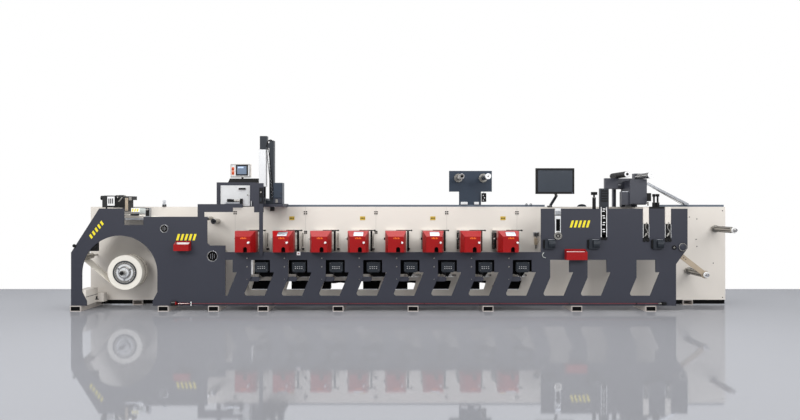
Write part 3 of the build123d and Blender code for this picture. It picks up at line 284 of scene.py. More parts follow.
def write_piece(name, shapes, names, body="press_frame"):
    """One mesh object from shapes, in metres, with its named finishes, riding on a body."""
    verts, faces, paints = [], [], []
    start = 0
    for shape in shapes:
        verts.append(shape.verts * MILLIMETRE)
        for group in shape.groups:
            faces.extend((group + start).tolist())
            paints.extend([shape.paint] * len(group))
        start += len(shape.verts)
    mesh = bpy.data.meshes.new(name)
    mesh.from_pydata(np.concatenate(verts), [], faces)
    for finish_name in names.split():
        mesh.materials.append(MATERIALS[finish_name])
    mesh.polygons.foreach_set("material_index", paints)
    mesh.validate()
    tidy_mesh(mesh)
    mesh.shade_smooth()
    mesh.set_sharp_from_angle(angle=SHARP_ANGLE)
    piece = bpy.data.objects.new(name, mesh)
    bpy.context.scene.collection.objects.link(piece)
    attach(piece, body)


def tidy_mesh(mesh):
    """Merges points that coincide and turns all faces outwards."""
    work = bmesh.new()
    work.from_mesh(mesh)
    bmesh.ops.remove_doubles(work, verts=work.verts, dist=MERGE_DISTANCE)
    bmesh.ops.recalc_face_normals(work, faces=work.faces)
    work.to_mesh(mesh)
    work.free()


# Materials

NOISE_SPAN = (0.3, 0.7)
CLOUD_SHARE = 0.65
GRAIN_SHARE = 0.35
ROUGHNESS_SPREAD = 0.06
RELIEF_DISTANCE = 0.0006


def linear(colour):
    """A screen colour as a linear one."""
    value = np.asarray(colour, float)[:3]
    return np.where(value <= 0.04045, value / 12.92, ((value + 0.055) / 1.055) ** 2.4)


def fill(tree, node, values):
    """Sets a node's inputs: a socket is linked, anything else is written as the value."""
    for name, value in values.items():
        if isinstance(value, bpy.types.NodeSocket):
            tree.links.new(value, node.inputs[name])
        else:
            node.inputs[name].default_value = value
    return node


def add(tree, kind, values=None, **settings):
    """A new shader node with its settings and inputs."""
    node = tree.nodes.new("ShaderNode" + kind)
    for name, value in settings.items():
        setattr(node, name, value)
    return fill(tree, node, values or {})


def coordinates(tree, scale=(1, 1, 1), location=(0, 0, 0)):
    """Object coordinates through a mapping."""
    source = add(tree, "TexCoord").outputs["Object"]
    return add(tree, "Mapping", {"Scale": scale, "Location": location, "Vector": source}).outputs["Vector"]


def noise(tree, vector, scale, detail):
    """The value of a noise over the given coordinates."""
    return add(tree, "TexNoise", {"Scale": scale, "Detail": detail, "Vector": vector}).outputs["Fac"]


def two_colours(tree, factor, dark, light):
    """A colour that runs from dark to light over the middle of a noise."""
    ramp = add(tree, "ValToRGB", {"Fac": factor})
    for element, place, shade in zip(ramp.color_ramp.elements, NOISE_SPAN, (dark, light)):
        element.position = place
        element.color = (*shade, 1)
    return ramp.outputs["Color"]


def ranged(tree, factor, low, high):
    """A value that runs from low to high over the middle of a noise."""
    span = {"From Min": NOISE_SPAN[0], "From Max": NOISE_SPAN[1], "To Min": low, "To Max": high}
    return add(tree, "MapRange", {"Value": factor, **span}).outputs["Result"]


def new_material(name):
    """A material with nodes, and its node tree."""
    material = bpy.data.materials.new(name)
    material.use_nodes = True
    return material, material.node_tree


def finish(
    name, colour, roughness=0.4, metallic=0.0, spread=0.06, cloud=2.0, grain=250.0, stretch=(1, 1, 1),
    bump=0.05, coat=0.0, specular=0.5,
):
    """A surface whose colour drifts in clouds, with a fine grain in its roughness and relief.

    The colour runs between the given one darkened and lightened by the spread, over noise of the cloud's
    scale; the grain is a second noise, stretched along the brushing, that moves roughness and bump.
    """
    material, tree = new_material(name)
    base = linear(colour)
    wide = noise(tree, coordinates(tree), cloud, 4.0)
    fine = noise(tree, coordinates(tree, stretch), grain, 2.0)
    clouds = add(tree, "Math", {0: wide, 1: CLOUD_SHARE}, operation="MULTIPLY").outputs[0]
    drift = add(tree, "Math", {0: fine, 1: GRAIN_SHARE, 2: clouds}, operation="MULTIPLY_ADD").outputs[0]
    relief = add(tree, "Bump", {"Strength": bump, "Distance": RELIEF_DISTANCE, "Height": fine})
    smoothest = max(roughness - ROUGHNESS_SPREAD, 0.03)
    fill(tree, tree.nodes["Principled BSDF"], {
        "Base Color": two_colours(tree, drift, base * (1 - spread), np.minimum(base * (1 + spread), 1)),
        "Roughness": ranged(tree, fine, smoothest, roughness + ROUGHNESS_SPREAD),
        "Normal": relief.outputs["Normal"],
        "Metallic": metallic,
        "Coat Weight": coat,
        "Specular IOR Level": specular,
    })
    return material


def wound_paper(name, colour, centre):
    """Paper whose edge shows its windings: noise of the distance from the roll's axis alone."""
    material = finish(name, colour, 0.75, spread=0.03, grain=120.0, bump=0.04, specular=0.3)
    tree = material.node_tree
    place = coordinates(tree, (1, 0, 1), (-centre[0] * MILLIMETRE, 0, -centre[1] * MILLIMETRE))
    reach = add(tree, "VectorMath", {0: place}, operation="LENGTH").outputs["Value"]
    windings = add(tree, "TexNoise", noise_dimensions="1D")
    fill(tree, windings, {"Scale": 260.0, "Detail": 4.0, "W": reach})
    base = linear(colour)
    shade = two_colours(tree, windings.outputs["Fac"], base * 0.86, base)
    fill(tree, tree.nodes["Principled BSDF"], {"Base Color": shade})
    return material


def lit_screen(name, colour, strength):
    """A display: a soft gradient of one colour that glows a little under a glossy face."""
    material = finish(name, colour, 0.12, spread=0.08, cloud=3.0, bump=0.0, specular=0.6)
    shader = material.node_tree.nodes["Principled BSDF"]
    shade = shader.inputs["Base Color"].links[0].from_socket
    fill(material.node_tree, shader, {"Emission Color": shade, "Emission Strength": strength})
    return material


def clear_lens(name, colour):
    """Clear moulded plastic."""
    material = finish(name, colour, 0.08, spread=0.02, bump=0.02, specular=0.5)
    tree = material.node_tree
    fill(tree, tree.nodes["Principled BSDF"], {"Transmission Weight": 0.7, "IOR": 1.47})
    return material


MATERIALS = {}

# Slot or fitting, material, colour, roughness, spread, scale of the clouds, relief, specular share, grain
PAINTS = (
    ("plate_paint", "slate_satin_paint", "plates", 0.45, 0.05, 0.9, 0.10, 0.3, 250),
    ("red_paint", "red_gloss_paint", "covers", 0.32, 0.06, 5, 0.05, 0.35, 250),
    ("machine_grey", "blue_grey_machine_paint", "machine", 0.42, 0.08, 6, 0.12, 0.3, 250),
    ("blue_grey", "slate_blue_paint", "slate_blue", 0.40, 0.07, 5, 0.10, 0.35, 250),
    ("black_paint", "black_enamel", "black", 0.45, 0.15, 8, 0.10, 0.25, 250),
    ("black_plastic", "black_moulded_plastic", "black", 0.5, 0.10, 8, 0.2, 0.25, 900),
    ("red_cord", "red_sheath", "cord", 0.45, 0.12, 30, 0.2, 0.5, 400),
    ("white", "white_moulding", (0.93, 0.93, 0.93), 0.35, 0.03, 9, 0.06, 0.5, 250),
    ("yellow", "yellow_marking_film", "marks", 0.45, 0.06, 12, 0.04, 0.5, 250),
    ("orange", "orange_marking_film", (0.93, 0.42, 0.10), 0.4, 0.08, 12, 0.04, 0.5, 250),
    ("ochre", "ochre_marking_film", (0.78, 0.66, 0.22), 0.45, 0.08, 12, 0.04, 0.5, 250),
    # dark_gap is painted shade: a near-black finish for openings, slots and hollows in shadow; the wall
    # bolts wear it too
    ("dark_gap", "shadowed_interior", (0.025, 0.025, 0.03), 0.8, 0.2, 9, 0.1, 0.1, 250),
    ("rail_paint", "grey_blue_rail_paint", (0.36, 0.40, 0.45), 0.4, 0.06, 2, 0.06, 0.5, 250),
    ("foot_paint", "foot_cream_paint", (0.74, 0.71, 0.685), 0.5, 0.05, 3, 0.08, 0.5, 250),
    ("matrix_paint", "light_slate_paint", (0.215, 0.223, 0.262), 0.45, 0.06, 3, 0.1, 0.5, 250),
    ("clear_hose", "translucent_hose", (0.80, 0.82, 0.80), 0.3, 0.05, 9, 0.05, 0.5, 250),
    ("panel_grey", "light_grey_enamel", (0.84, 0.845, 0.85), 0.4, 0.03, 6, 0.05, 0.5, 250),
    ("cardboard", "brown_cardboard", (0.44, 0.37, 0.29), 0.85, 0.15, 14, 0.15, 0.5, 250),
    ("beige", "beige_casting", (0.66, 0.60, 0.52), 0.5, 0.08, 9, 0.15, 0.5, 250),
    ("seam", "seam_shade", (0.62, 0.60, 0.58), 0.6, 0.08, 9, 0.05, 0.5, 250),
    ("rubber", "dark_rubber", (0.115, 0.12, 0.125), 0.7, 0.10, 9, 0.2, 0.5, 600),
)
# Slot, material, colour, roughness, spread, scale of the clouds, grain, stretch of the brushing, relief
METALS = (
    ("steel", "turned_steel", "steel", 0.28, 0.10, 6, 90, (1, 60, 1), 0.10),
    ("chromed", "ground_chrome", (0.78, 0.78, 0.79), 0.16, 0.05, 6, 120, (1, 60, 1), 0.04),
    ("rail_metal", "brushed_aluminium", (0.66, 0.67, 0.69), 0.34, 0.08, 5, 60, (1, 30, 30), 0.08),
)
# Fitting, material, colour, strength of the glow
DISPLAYS = (
    ("screen", "pale_blue_display", (0.70, 0.77, 0.88), 0.25),
    ("dark_screen", "dark_display", (0.20, 0.225, 0.26), 0.03),
    ("grey_screen", "grey_blue_display", (0.42, 0.48, 0.56), 0.12),
)


def make_materials(colours):
    """Every finish of the press, by the name of its record slot or of the fitting it is for."""

    def chosen(shade):
        return getattr(colours, shade) if isinstance(shade, str) else shade

    for key, name, shade, roughness, spread, cloud, bump, specular, grain in PAINTS:
        look = {"spread": spread, "cloud": cloud, "grain": grain, "bump": bump, "specular": specular}
        MATERIALS[key] = finish(name, chosen(shade), roughness, **look)
    for key, name, shade, roughness, spread, cloud, grain, stretch, bump in METALS:
        MATERIALS[key] = finish(name, chosen(shade), roughness, 1.0, spread, cloud, grain, stretch, bump)
    for key, name, shade, strength in DISPLAYS:
        MATERIALS[key] = lit_screen(name, shade, strength)
    MATERIALS["wall_paint"] = finish(
        "cream_satin_paint", colours.wall, 0.45, spread=0.018, cloud=0.7, bump=0.08, coat=0.05
    )
    MATERIALS["paper"] = wound_paper("label_stock", colours.paper, ROLL_CENTRE)
    MATERIALS["lamp"] = clear_lens("clear_lamp_lens", (0.93, 0.94, 0.96))


def dress_node(node, name):
    """Puts a finish on a CAD node."""
    piece = frame["nodes"][node]
    piece.data.materials.clear()
    piece.data.materials.append(MATERIALS[name])


OTHER_DRESS = {
    # The motors and chutes seen through the windows wear the near-black shadowed interior finish: painted
    # shade for the dark inside of the press
    "rear_motors": "dark_gap",
    "station_chutes": "dark_gap",
    "web_guide": "rubber",
    "foot_beams": "foot_paint",
    "top_rails": "rail_paint",
    "cabinet_door": "panel_grey",
    "mast_column": "panel_grey",
    "matrix_frame": "matrix_paint",
    "shaft_support_arm": "beige",
    "cord_fittings": "black_paint",
}
OPERATORS = []


def operator(cls):
    """Lists an operator for registering, in the order in which it runs."""
    OPERATORS.append(cls)
    return cls


@operator
class PRESS_OT_finishes(bpy.types.Operator):
    """Makes the finishes and puts one on every piece of the frame"""
    bl_idname = "press.finishes"
    bl_label = "Finishes"

    def execute(self, context):
        make_materials(context.scene.press_colours)
        for row in frame["record"]["subparts"]:
            dress_node(row["node"], row["material_slot"])
        for node, name in OTHER_DRESS.items():
            dress_node(node, name)
        return {"FINISHED"}


# Small parts that repeat

def screws(places, y, radius=9.0, height=6.0, paint=0, facing=-1):
    """Cap screws: a head with a rounded rim and a sunk hollow, one at each place in X and Z."""
    profile = [
        (radius, 0), (radius, height - 1.2), (radius - 1.2, height), (0.55 * radius, height),
        (0.5 * radius, 0.5 * height), (0, 0.5 * height),
    ]
    head = lathe(profile, (0, 0, 0), (0, facing, 0), 12, paint)
    return head.copies([(x, y, z) for x, z in places])


def ring(centre, axis, inner, outer, depth, paint=0, steps=48, bevel=1.0):
    """A flat ring: a bevelled rectangle between two radii, turned round the axis."""
    profile = [
        (inner, 0), (outer, 0), (outer, depth - bevel), (outer - bevel, depth),
        (inner + bevel, depth), (inner, depth - bevel), (inner, 0),
    ]
    return lathe(profile, centre, axis, steps, paint, caps=False)


def disc(centre, axis, radius, depth, paint=0, steps=40, bevel=2.0, dish=0.0):
    """A round plate with a bevelled rim and, if asked, a shallow dish in its face."""
    profile = [(radius, 0), (radius, depth - bevel), (radius - bevel, depth), (0.6 * radius, depth)]
    profile += [(0.55 * radius, depth - dish), (0, depth - dish)]
    return lathe(profile, centre, axis, steps, paint)


def ribbed(start, end, radius, count, depth=3.0, steps=28, paint=0):
    """A round bar with grooves: its radius steps in and out evenly along its length."""
    start, end = np.asarray(start, float), np.asarray(end, float)
    reach = np.linalg.norm(end - start)
    stops = np.linspace(0, reach, 4 * count + 1)
    low = (np.arange(4 * count + 1) // 2) % 2 == 1
    radii = np.where(low, radius - depth, radius)
    return lathe(np.stack([radii, stops], axis=1), start, end - start, steps, paint)


def sleeve(place, start, end, radius, count, depth, steps=36, paint=0):
    """A grooved bar along Y about a place in X and Z."""
    x, z = place
    return ribbed((x, start, z), (x, end, z), radius, count, depth, steps, paint)


def frame_bars(low, high, bar, paint=0, bevel=2.0):
    """Four bars round a rectangle in X and Z, between two corners."""
    (x0, y0, z0), (x1, y1, z1) = low, high
    return [
        brick((x0, y0, z0), (x1, y1, z0 + bar), bevel, paint),
        brick((x0, y0, z1 - bar), (x1, y1, z1), bevel, paint),
        brick((x0, y0, z0 + bar), (x0 + bar, y1, z1 - bar), bevel, paint),
        brick((x1 - bar, y0, z0 + bar), (x1, y1, z1 - bar), bevel, paint),
    ]


def stripes(start, end, height, count, y, paint=0):
    """Plain leaning stripes, thin plates side by side along a line in X and Z on a front face."""
    start, end = np.array(start, float), np.array(end, float)
    run = (end - start) / count
    along = run / np.linalg.norm(run)
    up = np.array([-along[1], along[0]]) * height + along * 0.3 * height
    shapes = []
    for i in range(count):
        near, far = start + i * run, start + (i + 0.55) * run
        shapes.append(plate([near, far, far + up, near + up], y - 1.2, y + 0.5, 0.3, paint))
    return shapes


# The unwinder

def make_chuck():
    """The chuck's dark rim, pale rings with screws, three jaws and dark tip, and the roll's brown bands."""
    x, z = ROLL_CENTRE
    y = roll_low[1]
    centre = (x, y - 6.5, z)
    shapes = [
        ring(centre, FRONT, 165, 180, 6, 0),
        ring(centre, FRONT, 128, 164, 4, 1),
        ring(centre, FRONT, 96, 127, 3, 4),
        ring((x, y - 35, z), FRONT, 74, 86, 3, 3),
        ring((x, y - 35, z), FRONT, 40, 72, 2, 4),
        ring((x, y - 48, z), FRONT, 26, 40, 6, 5),
        lathe([(30, 0), (28, 8), (28, 30), (22, 44), (12, 48), (0, 48)], (x, y - 92, z), FRONT, 36, 2),
    ]
    turn = np.arange(6) * pi / 3
    shapes.append(screws(zip(x + 146 * np.cos(turn), z + 146 * np.sin(turn)), y - 10, 9, 6, 3))
    shapes.append(screws(zip(x + 56 * np.cos(turn), z + 56 * np.sin(turn)), y - 36, 5, 4, 3))
    jaw = np.array([(84, -14), (122, -14), (122, 14), (84, 14)], float)
    for angle in turn[::2] + 0.5:
        axes = np.array([(np.cos(angle), np.sin(angle)), (-np.sin(angle), np.cos(angle))])
        shapes.append(plate(jaw @ axes + np.array([x, z]), y - 15, y - 8, 1.5, 3))
    names = "machine_grey steel black_paint chromed panel_grey white"
    write_piece("unwind_chuck", shapes, names, "unwind_spindle")
    reach = roll_high[0] - x
    bands = [
        ring((x, y + share * (roll_high[1] - y), z), FRONT, reach - 2, reach + 0.8, width, 0, 96)
        for share, width in ((0.42, 5), (0.60, 16), (0.76, 6), (0.95, 14))
    ]
    write_piece("paper_roll_bands", bands, "cardboard", "unwind_spindle")


def make_plate_screws(sizes):
    """Two bright screws and a small one on the plate left of every station window."""
    radius = sizes.screw / MILLIMETRE
    height = sizes.screw_height / MILLIMETRE
    bright = screws([(x - 58, z) for x in WINDOW_X for z in (666, 793)], PLATE_FRONT, radius, height)
    small = screws([(x - 58, 479) for x in WINDOW_X], PLATE_FRONT, 0.6 * radius, height)
    write_piece("plate_screws", [bright, small], "steel")


def make_plate_marks():
    """Plain stripes and plain plates where the machine carries its markings."""
    y = PLATE_FRONT
    shapes = stripes((-4813, 1081), (-4611, 1328), 60, 5, y)
    shapes += stripes((-3548, 1060), (-3240, 1060), 96, 5, y)
    shapes += stripes((2345, 1254), (2650, 1254), 104, 5, y)
    shapes += stripes((-4213, 1490), (-4103, 1490), 44, 3, y - 1.4)
    write_piece("plate_stripes", shapes, "yellow")
    plates = [
        brick((-4219, y - 1.4, 1484), (-4090, y + 0.5, 1545), 0.5, 0),
        brick((-1742, y - 2, 838), (-1686, y + 0.5, 890), 0.5, 0),
        brick((-1726, y - 3, 856), (-1702, y - 1.5, 868), 0.5, 1),
    ]
    write_piece("plate_labels", plates, "white red_paint")


def make_unwinder_fittings():
    """Bracket behind the arch, knob, handle, and the two ports with bars across a dark disc that is painted
    shade for their inside.
    """
    y, back = PLATE_FRONT, PLATE_BACK
    shapes = [
        brick((-4859, back, 898), (-4724, back + 40, 1048), 6, 0),
        brick((-4840, back - 8, 930), (-4750, back, 1010), 4, 0),
        disc((-5068, y, 980), FRONT, 25, 16, 0, 28),
        rod((-4755, y - 3, 181), (-4700, y - 3, 181), 7, 12, 2, 0),
        brick((-4908, -462, 203), (-4906, -88, 211), 0.8, 0),
        brick((-4908, -150, 130), (-4905, -95, 175), 1, 0),
    ]
    for x, z, radius in PORTS:
        shapes.append(ring((x, y, z), FRONT, radius - 7, radius + 2, 4, 1))
        # A near-black disc at the back of each port is painted shade for the port's inside
        shapes.append(disc((x, back - 2, z), FRONT, radius - 9, 4, 2, 36))
        for share, reach in ((-0.35, 0.45), (0.0, 0.62), (0.35, 0.40)):
            place = x + share * radius
            low, high = z - reach * radius, z + reach * radius
            shapes.append(rod((place, back - 8, low), (place, back - 8, high), 5, 10, 1, 1))
    write_piece("unwinder_fittings", shapes, "black_paint chromed dark_gap")


def make_roller_ends():
    """End discs and journals' nuts of the web rollers behind the unwinder's plate."""
    y = PLATE_BACK + 12
    shapes = []
    for x, z, radius in ((-5012, 800, 45), (-4640, 1420, 40), (-3900, 1365, 40)):
        shapes.append(ring((x, y, z), FRONT, 15, radius - 3, 3, 0, 36))
        shapes.append(ring((x, y - 3, z), FRONT, 15, 22, 7, 1, 24))
    for x, z, radius in ((-3195, 1380, 30), (-3095, 1335, 42)):
        front = WALL_FRONT - 240
        shapes.append(ring((x, front, z), FRONT, 12, radius - 3, 3, 0, 32))
        shapes.append(disc((x, front, z), FRONT, 12, 9, 1, 20))
    write_piece("web_roller_ends", shapes, "chromed black_paint")


def make_web_guide():
    """The web guide's framed white plate, motor rings, brown posts, black cover and plug."""
    front, middle = -295, -200
    shapes = [
        brick((-4667, front - 4, 1576), (-4547, front, 1724), 4, 0),
        ring((-4530, middle, 1697), (1, 0, 0), 30, 47, 8, 1),
        ring((-4440, middle, 1697), (1, 0, 0), 30, 47, 8, 1),
        ribbed((-4525, middle, 1697), (-4445, middle, 1697), 47, 6, 2.5, 32, 2),
        ribbed((-4798, middle, 1700), (-4748, middle, 1700), 34, 5, 2.0, 28, 2),
        brick((-4392, front - 5, 1500), (-4346, front, 1700), 4, 3),
        brick((-4336, front - 3, 1660), (-4292, front, 1716), 3, 1),
        brick((-4540, front - 4, 1562), (-4400, front, 1680), 5, 2),
        plate([(-4500, 1640), (-4478, 1640), (-4420, 1712), (-4442, 1712)], front - 8, front - 3, 1.5, 1),
        screws([(-4370, 1520), (-4370, 1680)], front - 5, 7, 5, 1),
        rod((-4720, middle, 1552), (-4720, middle, 1500), 12, 16, 2, 2),
        tube([(-4720, middle, 1505), (-4700, -120, 1480), (-4620, 0, 1500), (-4600, 120, 1520)], 6, 10, 2),
    ]
    shapes += frame_bars((-4672, front - 6, 1571), (-4542, front - 2, 1729), 9, 2, 1.5)
    for i in range(3):
        shapes.append(brick((-4646 + 28 * i, front - 6, 1612), (-4630 + 28 * i, front - 3, 1690), 1.5, 2))
    write_piece("web_guide_details", shapes, "white steel black_paint beige")


def make_splice_clamp():
    """The splice clamp: pale translucent rail, dark bar, black end block with its lever."""
    front = PLATE_BACK + 70 - 16
    shapes = [
        brick((-4128, front - 6, 1462), (-4018, front - 0.5, 1540), 3, 0),
        brick((-4259, front - 8, 1430), (-4129, front + 6, 1454), 3, 1),
        brick((-4012, PLATE_BACK - 2, 1420), (-3952, PLATE_BACK + 66, 1545), 5, 1),
        rod((-3985, PLATE_BACK - 2, 1520), (-3985, PLATE_BACK - 14, 1520), 14, 20, 3, 2),
        rod((-4006, PLATE_BACK - 9, 1520), (-3962, PLATE_BACK - 9, 1520), 4, 10, 1, 2),
    ]
    write_piece("splice_clamp", shapes, "clear_hose black_paint steel")


def make_lamp():
    """The signal lamp's black base with its grooves and the ribs inside the lens."""
    low, high = corners("signal_lamp")
    x, y = (low[0] + high[0]) / 2, (low[1] + high[1]) / 2
    base = lathe(
        [(32.5, 0), (32.5, 10), (30, 13), (32.5, 16), (32.5, 34), (27, 36)], (x, y, low[2] + 0.3), UP, 36, 0
    )
    core = ribbed((x, y, low[2] + 36), (x, y, high[2] - 6), 14, 7, 2.0, 20, 1)
    write_piece("signal_lamp_base", [base], "black_plastic")
    write_piece("signal_lamp_core", [core], "white")


@operator
class PRESS_OT_unwinder(bpy.types.Operator):
    """Adds the unwinder's chuck, screws, rollers' ends, web guide, clamp and lamp"""
    bl_idname = "press.unwinder"
    bl_label = "Unwinder"

    def execute(self, context):
        sizes = context.scene.press_sizes
        make_chuck()
        make_plate_screws(sizes)
        make_plate_marks()
        make_unwinder_fittings()
        make_roller_ends()
        make_web_guide()
        make_splice_clamp()
        make_lamp()
        return {"FINISHED"}


# The print units

def make_cover_trim(sizes):
    """White knob and orange mark of each red cover, a dark sheet painted as the shade in its arch, and a
    silver band on every second one.
    """
    first = WINDOW_X[0]
    knob_end = covers_low[1]
    face = knob_end + COVER_KNOB_LENGTH
    base = PLATE_TOP + 12
    radius = sizes.knob / MILLIMETRE
    profile = [(radius - 0.9, -52), (radius, -24), (radius, -4), (radius - 3, 0), (0, 0)]
    knob = lathe(profile, (first + 24, knob_end - 0.8, 1041), FRONT, 28, 0)
    write_piece("cover_knobs", [knob.copies(UNIT_OFFSETS)], "white")
    middle = first - 35
    arc = np.linspace(0, pi, 13)
    arch = [(middle + 30 * np.cos(a), base + 48 + 30 * np.sin(a)) for a in arc]
    arch = [(middle + 30, base)] + arch + [(middle - 30, base)]
    # Painted shade: a thin near-black sheet set back in each arch stands for the dark inside of the arch
    rings = [[(x, y, z) for x, z in arch] for y in (face + 59, face + 59.8)]
    write_piece("cover_arches", [skin(rings).copies(UNIT_OFFSETS)], "dark_gap")
    left, right = first - 128, first + 10
    section = [(-590, 1178), (-700, 1132), (-706, 1138), (-692, 1152), (-596, 1192)]
    band = skin([[(x, y, z) for y, z in section] for x in (left, left + 6, right - 6, right)])
    write_piece("cover_bands", [band.copies(UNIT_OFFSETS[1::2])], "rail_metal")
    mark = []
    for i, (width, height) in enumerate(((12, 20), (16, 26), (12, 18), (16, 24), (8, 16))):
        x = first - 104 + 20 * i
        block = brick((x, face - 1.5, 1092), (x + width, face + 0.5, 1092 + height), 0.6)
        mark.append(block.copies(UNIT_OFFSETS))
    write_piece("cover_marks", mark, "orange")


def make_unit_frames():
    """Black plates on the wall, levers, bars and stubs of each print unit."""
    first = WINDOW_X[0]
    back = WALL_FRONT - 31
    black = [
        brick((first + 100, -300, 885), (first + 130, -270, 1193), 3, 0),
        brick((first - 68, -306, 1195), (first + 176, -284, 1210), 3, 0),
        rod((first + 168, -330, 1202), (first + 168, -260, 1202), 12, 18, 2, 0),
        brick((first - 252, -420, 1063), (first - 229, -330, 1098), 3, 0),
        brick((first - 229, back, 885), (first - 120, WALL_FRONT, 1162), 4, 0),
        brick((first - 225, back - 4, 1168), (first + 60, WALL_FRONT, 1186), 3, 0),
        brick((first + 110, back, 880), (first + 150, WALL_FRONT, 905), 3, 0),
    ]
    light = [
        brick((first - 204, back - 3, 900), (first - 192, back + 1, 1140), 2, 1),
        rod((first + 62, -340, 960), (first + 62, 60, 960), 8, 14, 1, 1),
        rod((first - 253, -400, 1080), (first - 275, -400, 1080), 7, 12, 1, 1),
        brick((first + 124, back - 3, 930), (first + 132, WALL_FRONT, 1150), 2, 1),
    ]
    shapes = [shape.copies(UNIT_OFFSETS) for shape in black + light]
    write_piece("unit_brackets", shapes, "black_paint steel")


@operator
class PRESS_OT_print_units(bpy.types.Operator):
    """Adds the covers' trim and the brackets and levers behind them"""
    bl_idname = "press.print_units"
    bl_label = "Print units"

    def execute(self, context):
        sizes = context.scene.press_sizes
        make_cover_trim(sizes)
        make_unit_frames()
        return {"FINISHED"}


# The stations under the print units

def make_station_boxes():
    """Cover plates, screws and light slots on the drive boxes, and the cable below each."""
    first = WINDOW_X[0]
    y = PLATE_BACK
    x0, x1 = first + 52, first + 255
    z0, z1 = 580, 730
    outline = [
        (x0 + 8, z0 + 28), (x0 + 28, z0 + 8), (x1 - 28, z0 + 8),
        (x1 - 8, z0 + 28), (x1 - 8, z1 - 8), (x0 + 8, z1 - 8),
    ]
    cover = plate(outline, y - 5, y, 2, 0)
    slots = [
        brick((x, y - 6.2, z), (x + 16, y - 4.5, z + 5), 0.6, 1)
        for x in x0 + 44 + 32 * np.arange(4) for z in (z0 + 56, z0 + 82)
    ]
    places = [(x0 + 18, z1 - 18), (x1 - 18, z1 - 18), (x0 + 24, z0 + 36), (x1 - 24, z0 + 36)]
    rivets = screws(places, y - 5, 4, 3, 2)
    shapes = [shape.copies(UNIT_OFFSETS) for shape in [cover, rivets] + slots]
    write_piece("drive_box_covers", shapes, "machine_grey white steel")
    cable = [(60, y + 40, -22), (64, y + 50, -70), (20, y + 160, -120), (0, 60, -130)]
    cable = [(x0 + dx, place, z0 + dz) for dx, place, dz in cable]
    loop = [(x0 + 150, -60, 560), (x0 + 120, -20, 520), (x0 + 70, 20, 500), (x0 + 10, 60, 520)]
    gland = [
        rod((x0 + 60, y + 40, z0), (x0 + 60, y + 40, z0 - 26), 12, 18, 2, 0),
        tube(cable, 6, 8, 0),
        tube(loop, 9, 10, 0),
        sleeve((x0 + 150, 520), -300, -120, 24, 6, 3, 24, 1),
    ]
    shapes = [shape.copies(UNIT_OFFSETS) for shape in gland]
    write_piece("drive_box_cables", shapes, "black_plastic steel")


def make_tongue_caps():
    """A flush cap of the plate's own paint on the round end of each tongue."""
    cap = disc((0, PLATE_BACK, 0), FRONT, 27, 3, 0, 32, bevel=1)
    places = [(x + 94, 0, 479) for x in WINDOW_X]
    write_piece("tongue_caps", [cap.copies(places)], "plate_paint")


def make_station_bars():
    """The light bar beside the first drive box and the pale bars behind the other stations."""
    first = WINDOW_X[0]
    light = [brick((first - 4, PLATE_BACK + 4, 545), (first + 20, PLATE_BACK + 24, 765), 3, 0)]
    write_piece("first_station_bar", light, "white")
    bars = [brick((x + 96, 60, 448), (x + 283, 80, 460), 3, 0) for x in WINDOW_X[1:]]
    sag = [(-40, 172, 356), (60, 184, 350), (150, 176, 362), (250, 182, 352)]
    bundles = [
        tube([(x + dx, y, z + dz) for dx, y, z in sag], 13, 10, 1)
        for x in WINDOW_X[1:] for dz in (0, 24, 48)
    ]
    write_piece("station_bars_and_bundles", bars + bundles, "white black_plastic")


@operator
class PRESS_OT_stations(bpy.types.Operator):
    """Adds covers, cables and caps to the boxes and tongues in the windows"""
    bl_idname = "press.stations"
    bl_label = "Stations"

    def execute(self, context):
        make_station_boxes()
        make_tongue_caps()
        make_station_bars()
        return {"FINISHED"}


# The wall's fittings

def make_wall_fittings():
    """Black bolt groups over fine upright seams, small marking plates and valve blocks on the wall."""
    y = WALL_FRONT
    groups = [-2820, -1700, -578, 549, 1667]
    bolts = [(x + dx, 1468 + dz) for x in groups for dx in (-16, 16) for dz in (-16, 16)]
    bolts += [(x + dx, 1158 + dz) for x in (-1698, -577) for dx in (-13, 13) for dz in (-13, 13)]
    write_piece("wall_bolts", [screws(bolts, y, 11, 8)], "dark_gap")
    small = [(4531, 1368), (4518, 1045), (4531, 932), (4792, 666), (4412, 1400), (4940, 1500), (4940, 120)]
    write_piece("wall_screws", [screws(small, y, 8, 6)], "black_paint")
    seams = [brick((x - 1.2, y - 0.6, 410), (x + 1.2, y + 1, 1560), 0.3) for x in groups]
    write_piece("wall_seams", seams, "seam")
    marks = []
    for x in (-1917, -790, 328, 1445):
        marks.append(brick((x - 42, y - 3, 1350), (x + 42, y + 0.5, 1410), 1.0, 0))
        for i in range(3):
            marks.append(brick((x - 32 + 24 * i, y - 4, 1370), (x - 16 + 24 * i, y - 2.5, 1390), 0.6, 1))
    write_piece("wall_marks", marks, "ochre rubber")
    valves = [
        brick((1925, y - 40, 1090), (2010, y, 1160), 4, 0),
        brick((1935, y - 50, 1100), (1958, y - 38, 1150), 2, 1),
        brick((1975, y - 50, 1100), (1998, y - 38, 1150), 2, 1),
        brick((1940, y - 30, 960), (1990, y, 1060), 4, 2),
        rod((1965, y - 15, 900), (1965, y - 15, 960), 14, 20, 3, 1),
        tube([(1945, y - 40, 1095), (1930, y - 70, 1040), (1950, y - 40, 980)], 4, 8, 2),
        tube([(1995, y - 40, 1095), (2010, y - 70, 1040), (1985, y - 40, 980)], 4, 8, 2),
    ]
    write_piece("wall_valves", valves, "rail_metal steel beige")


# The control cabinet and its panel

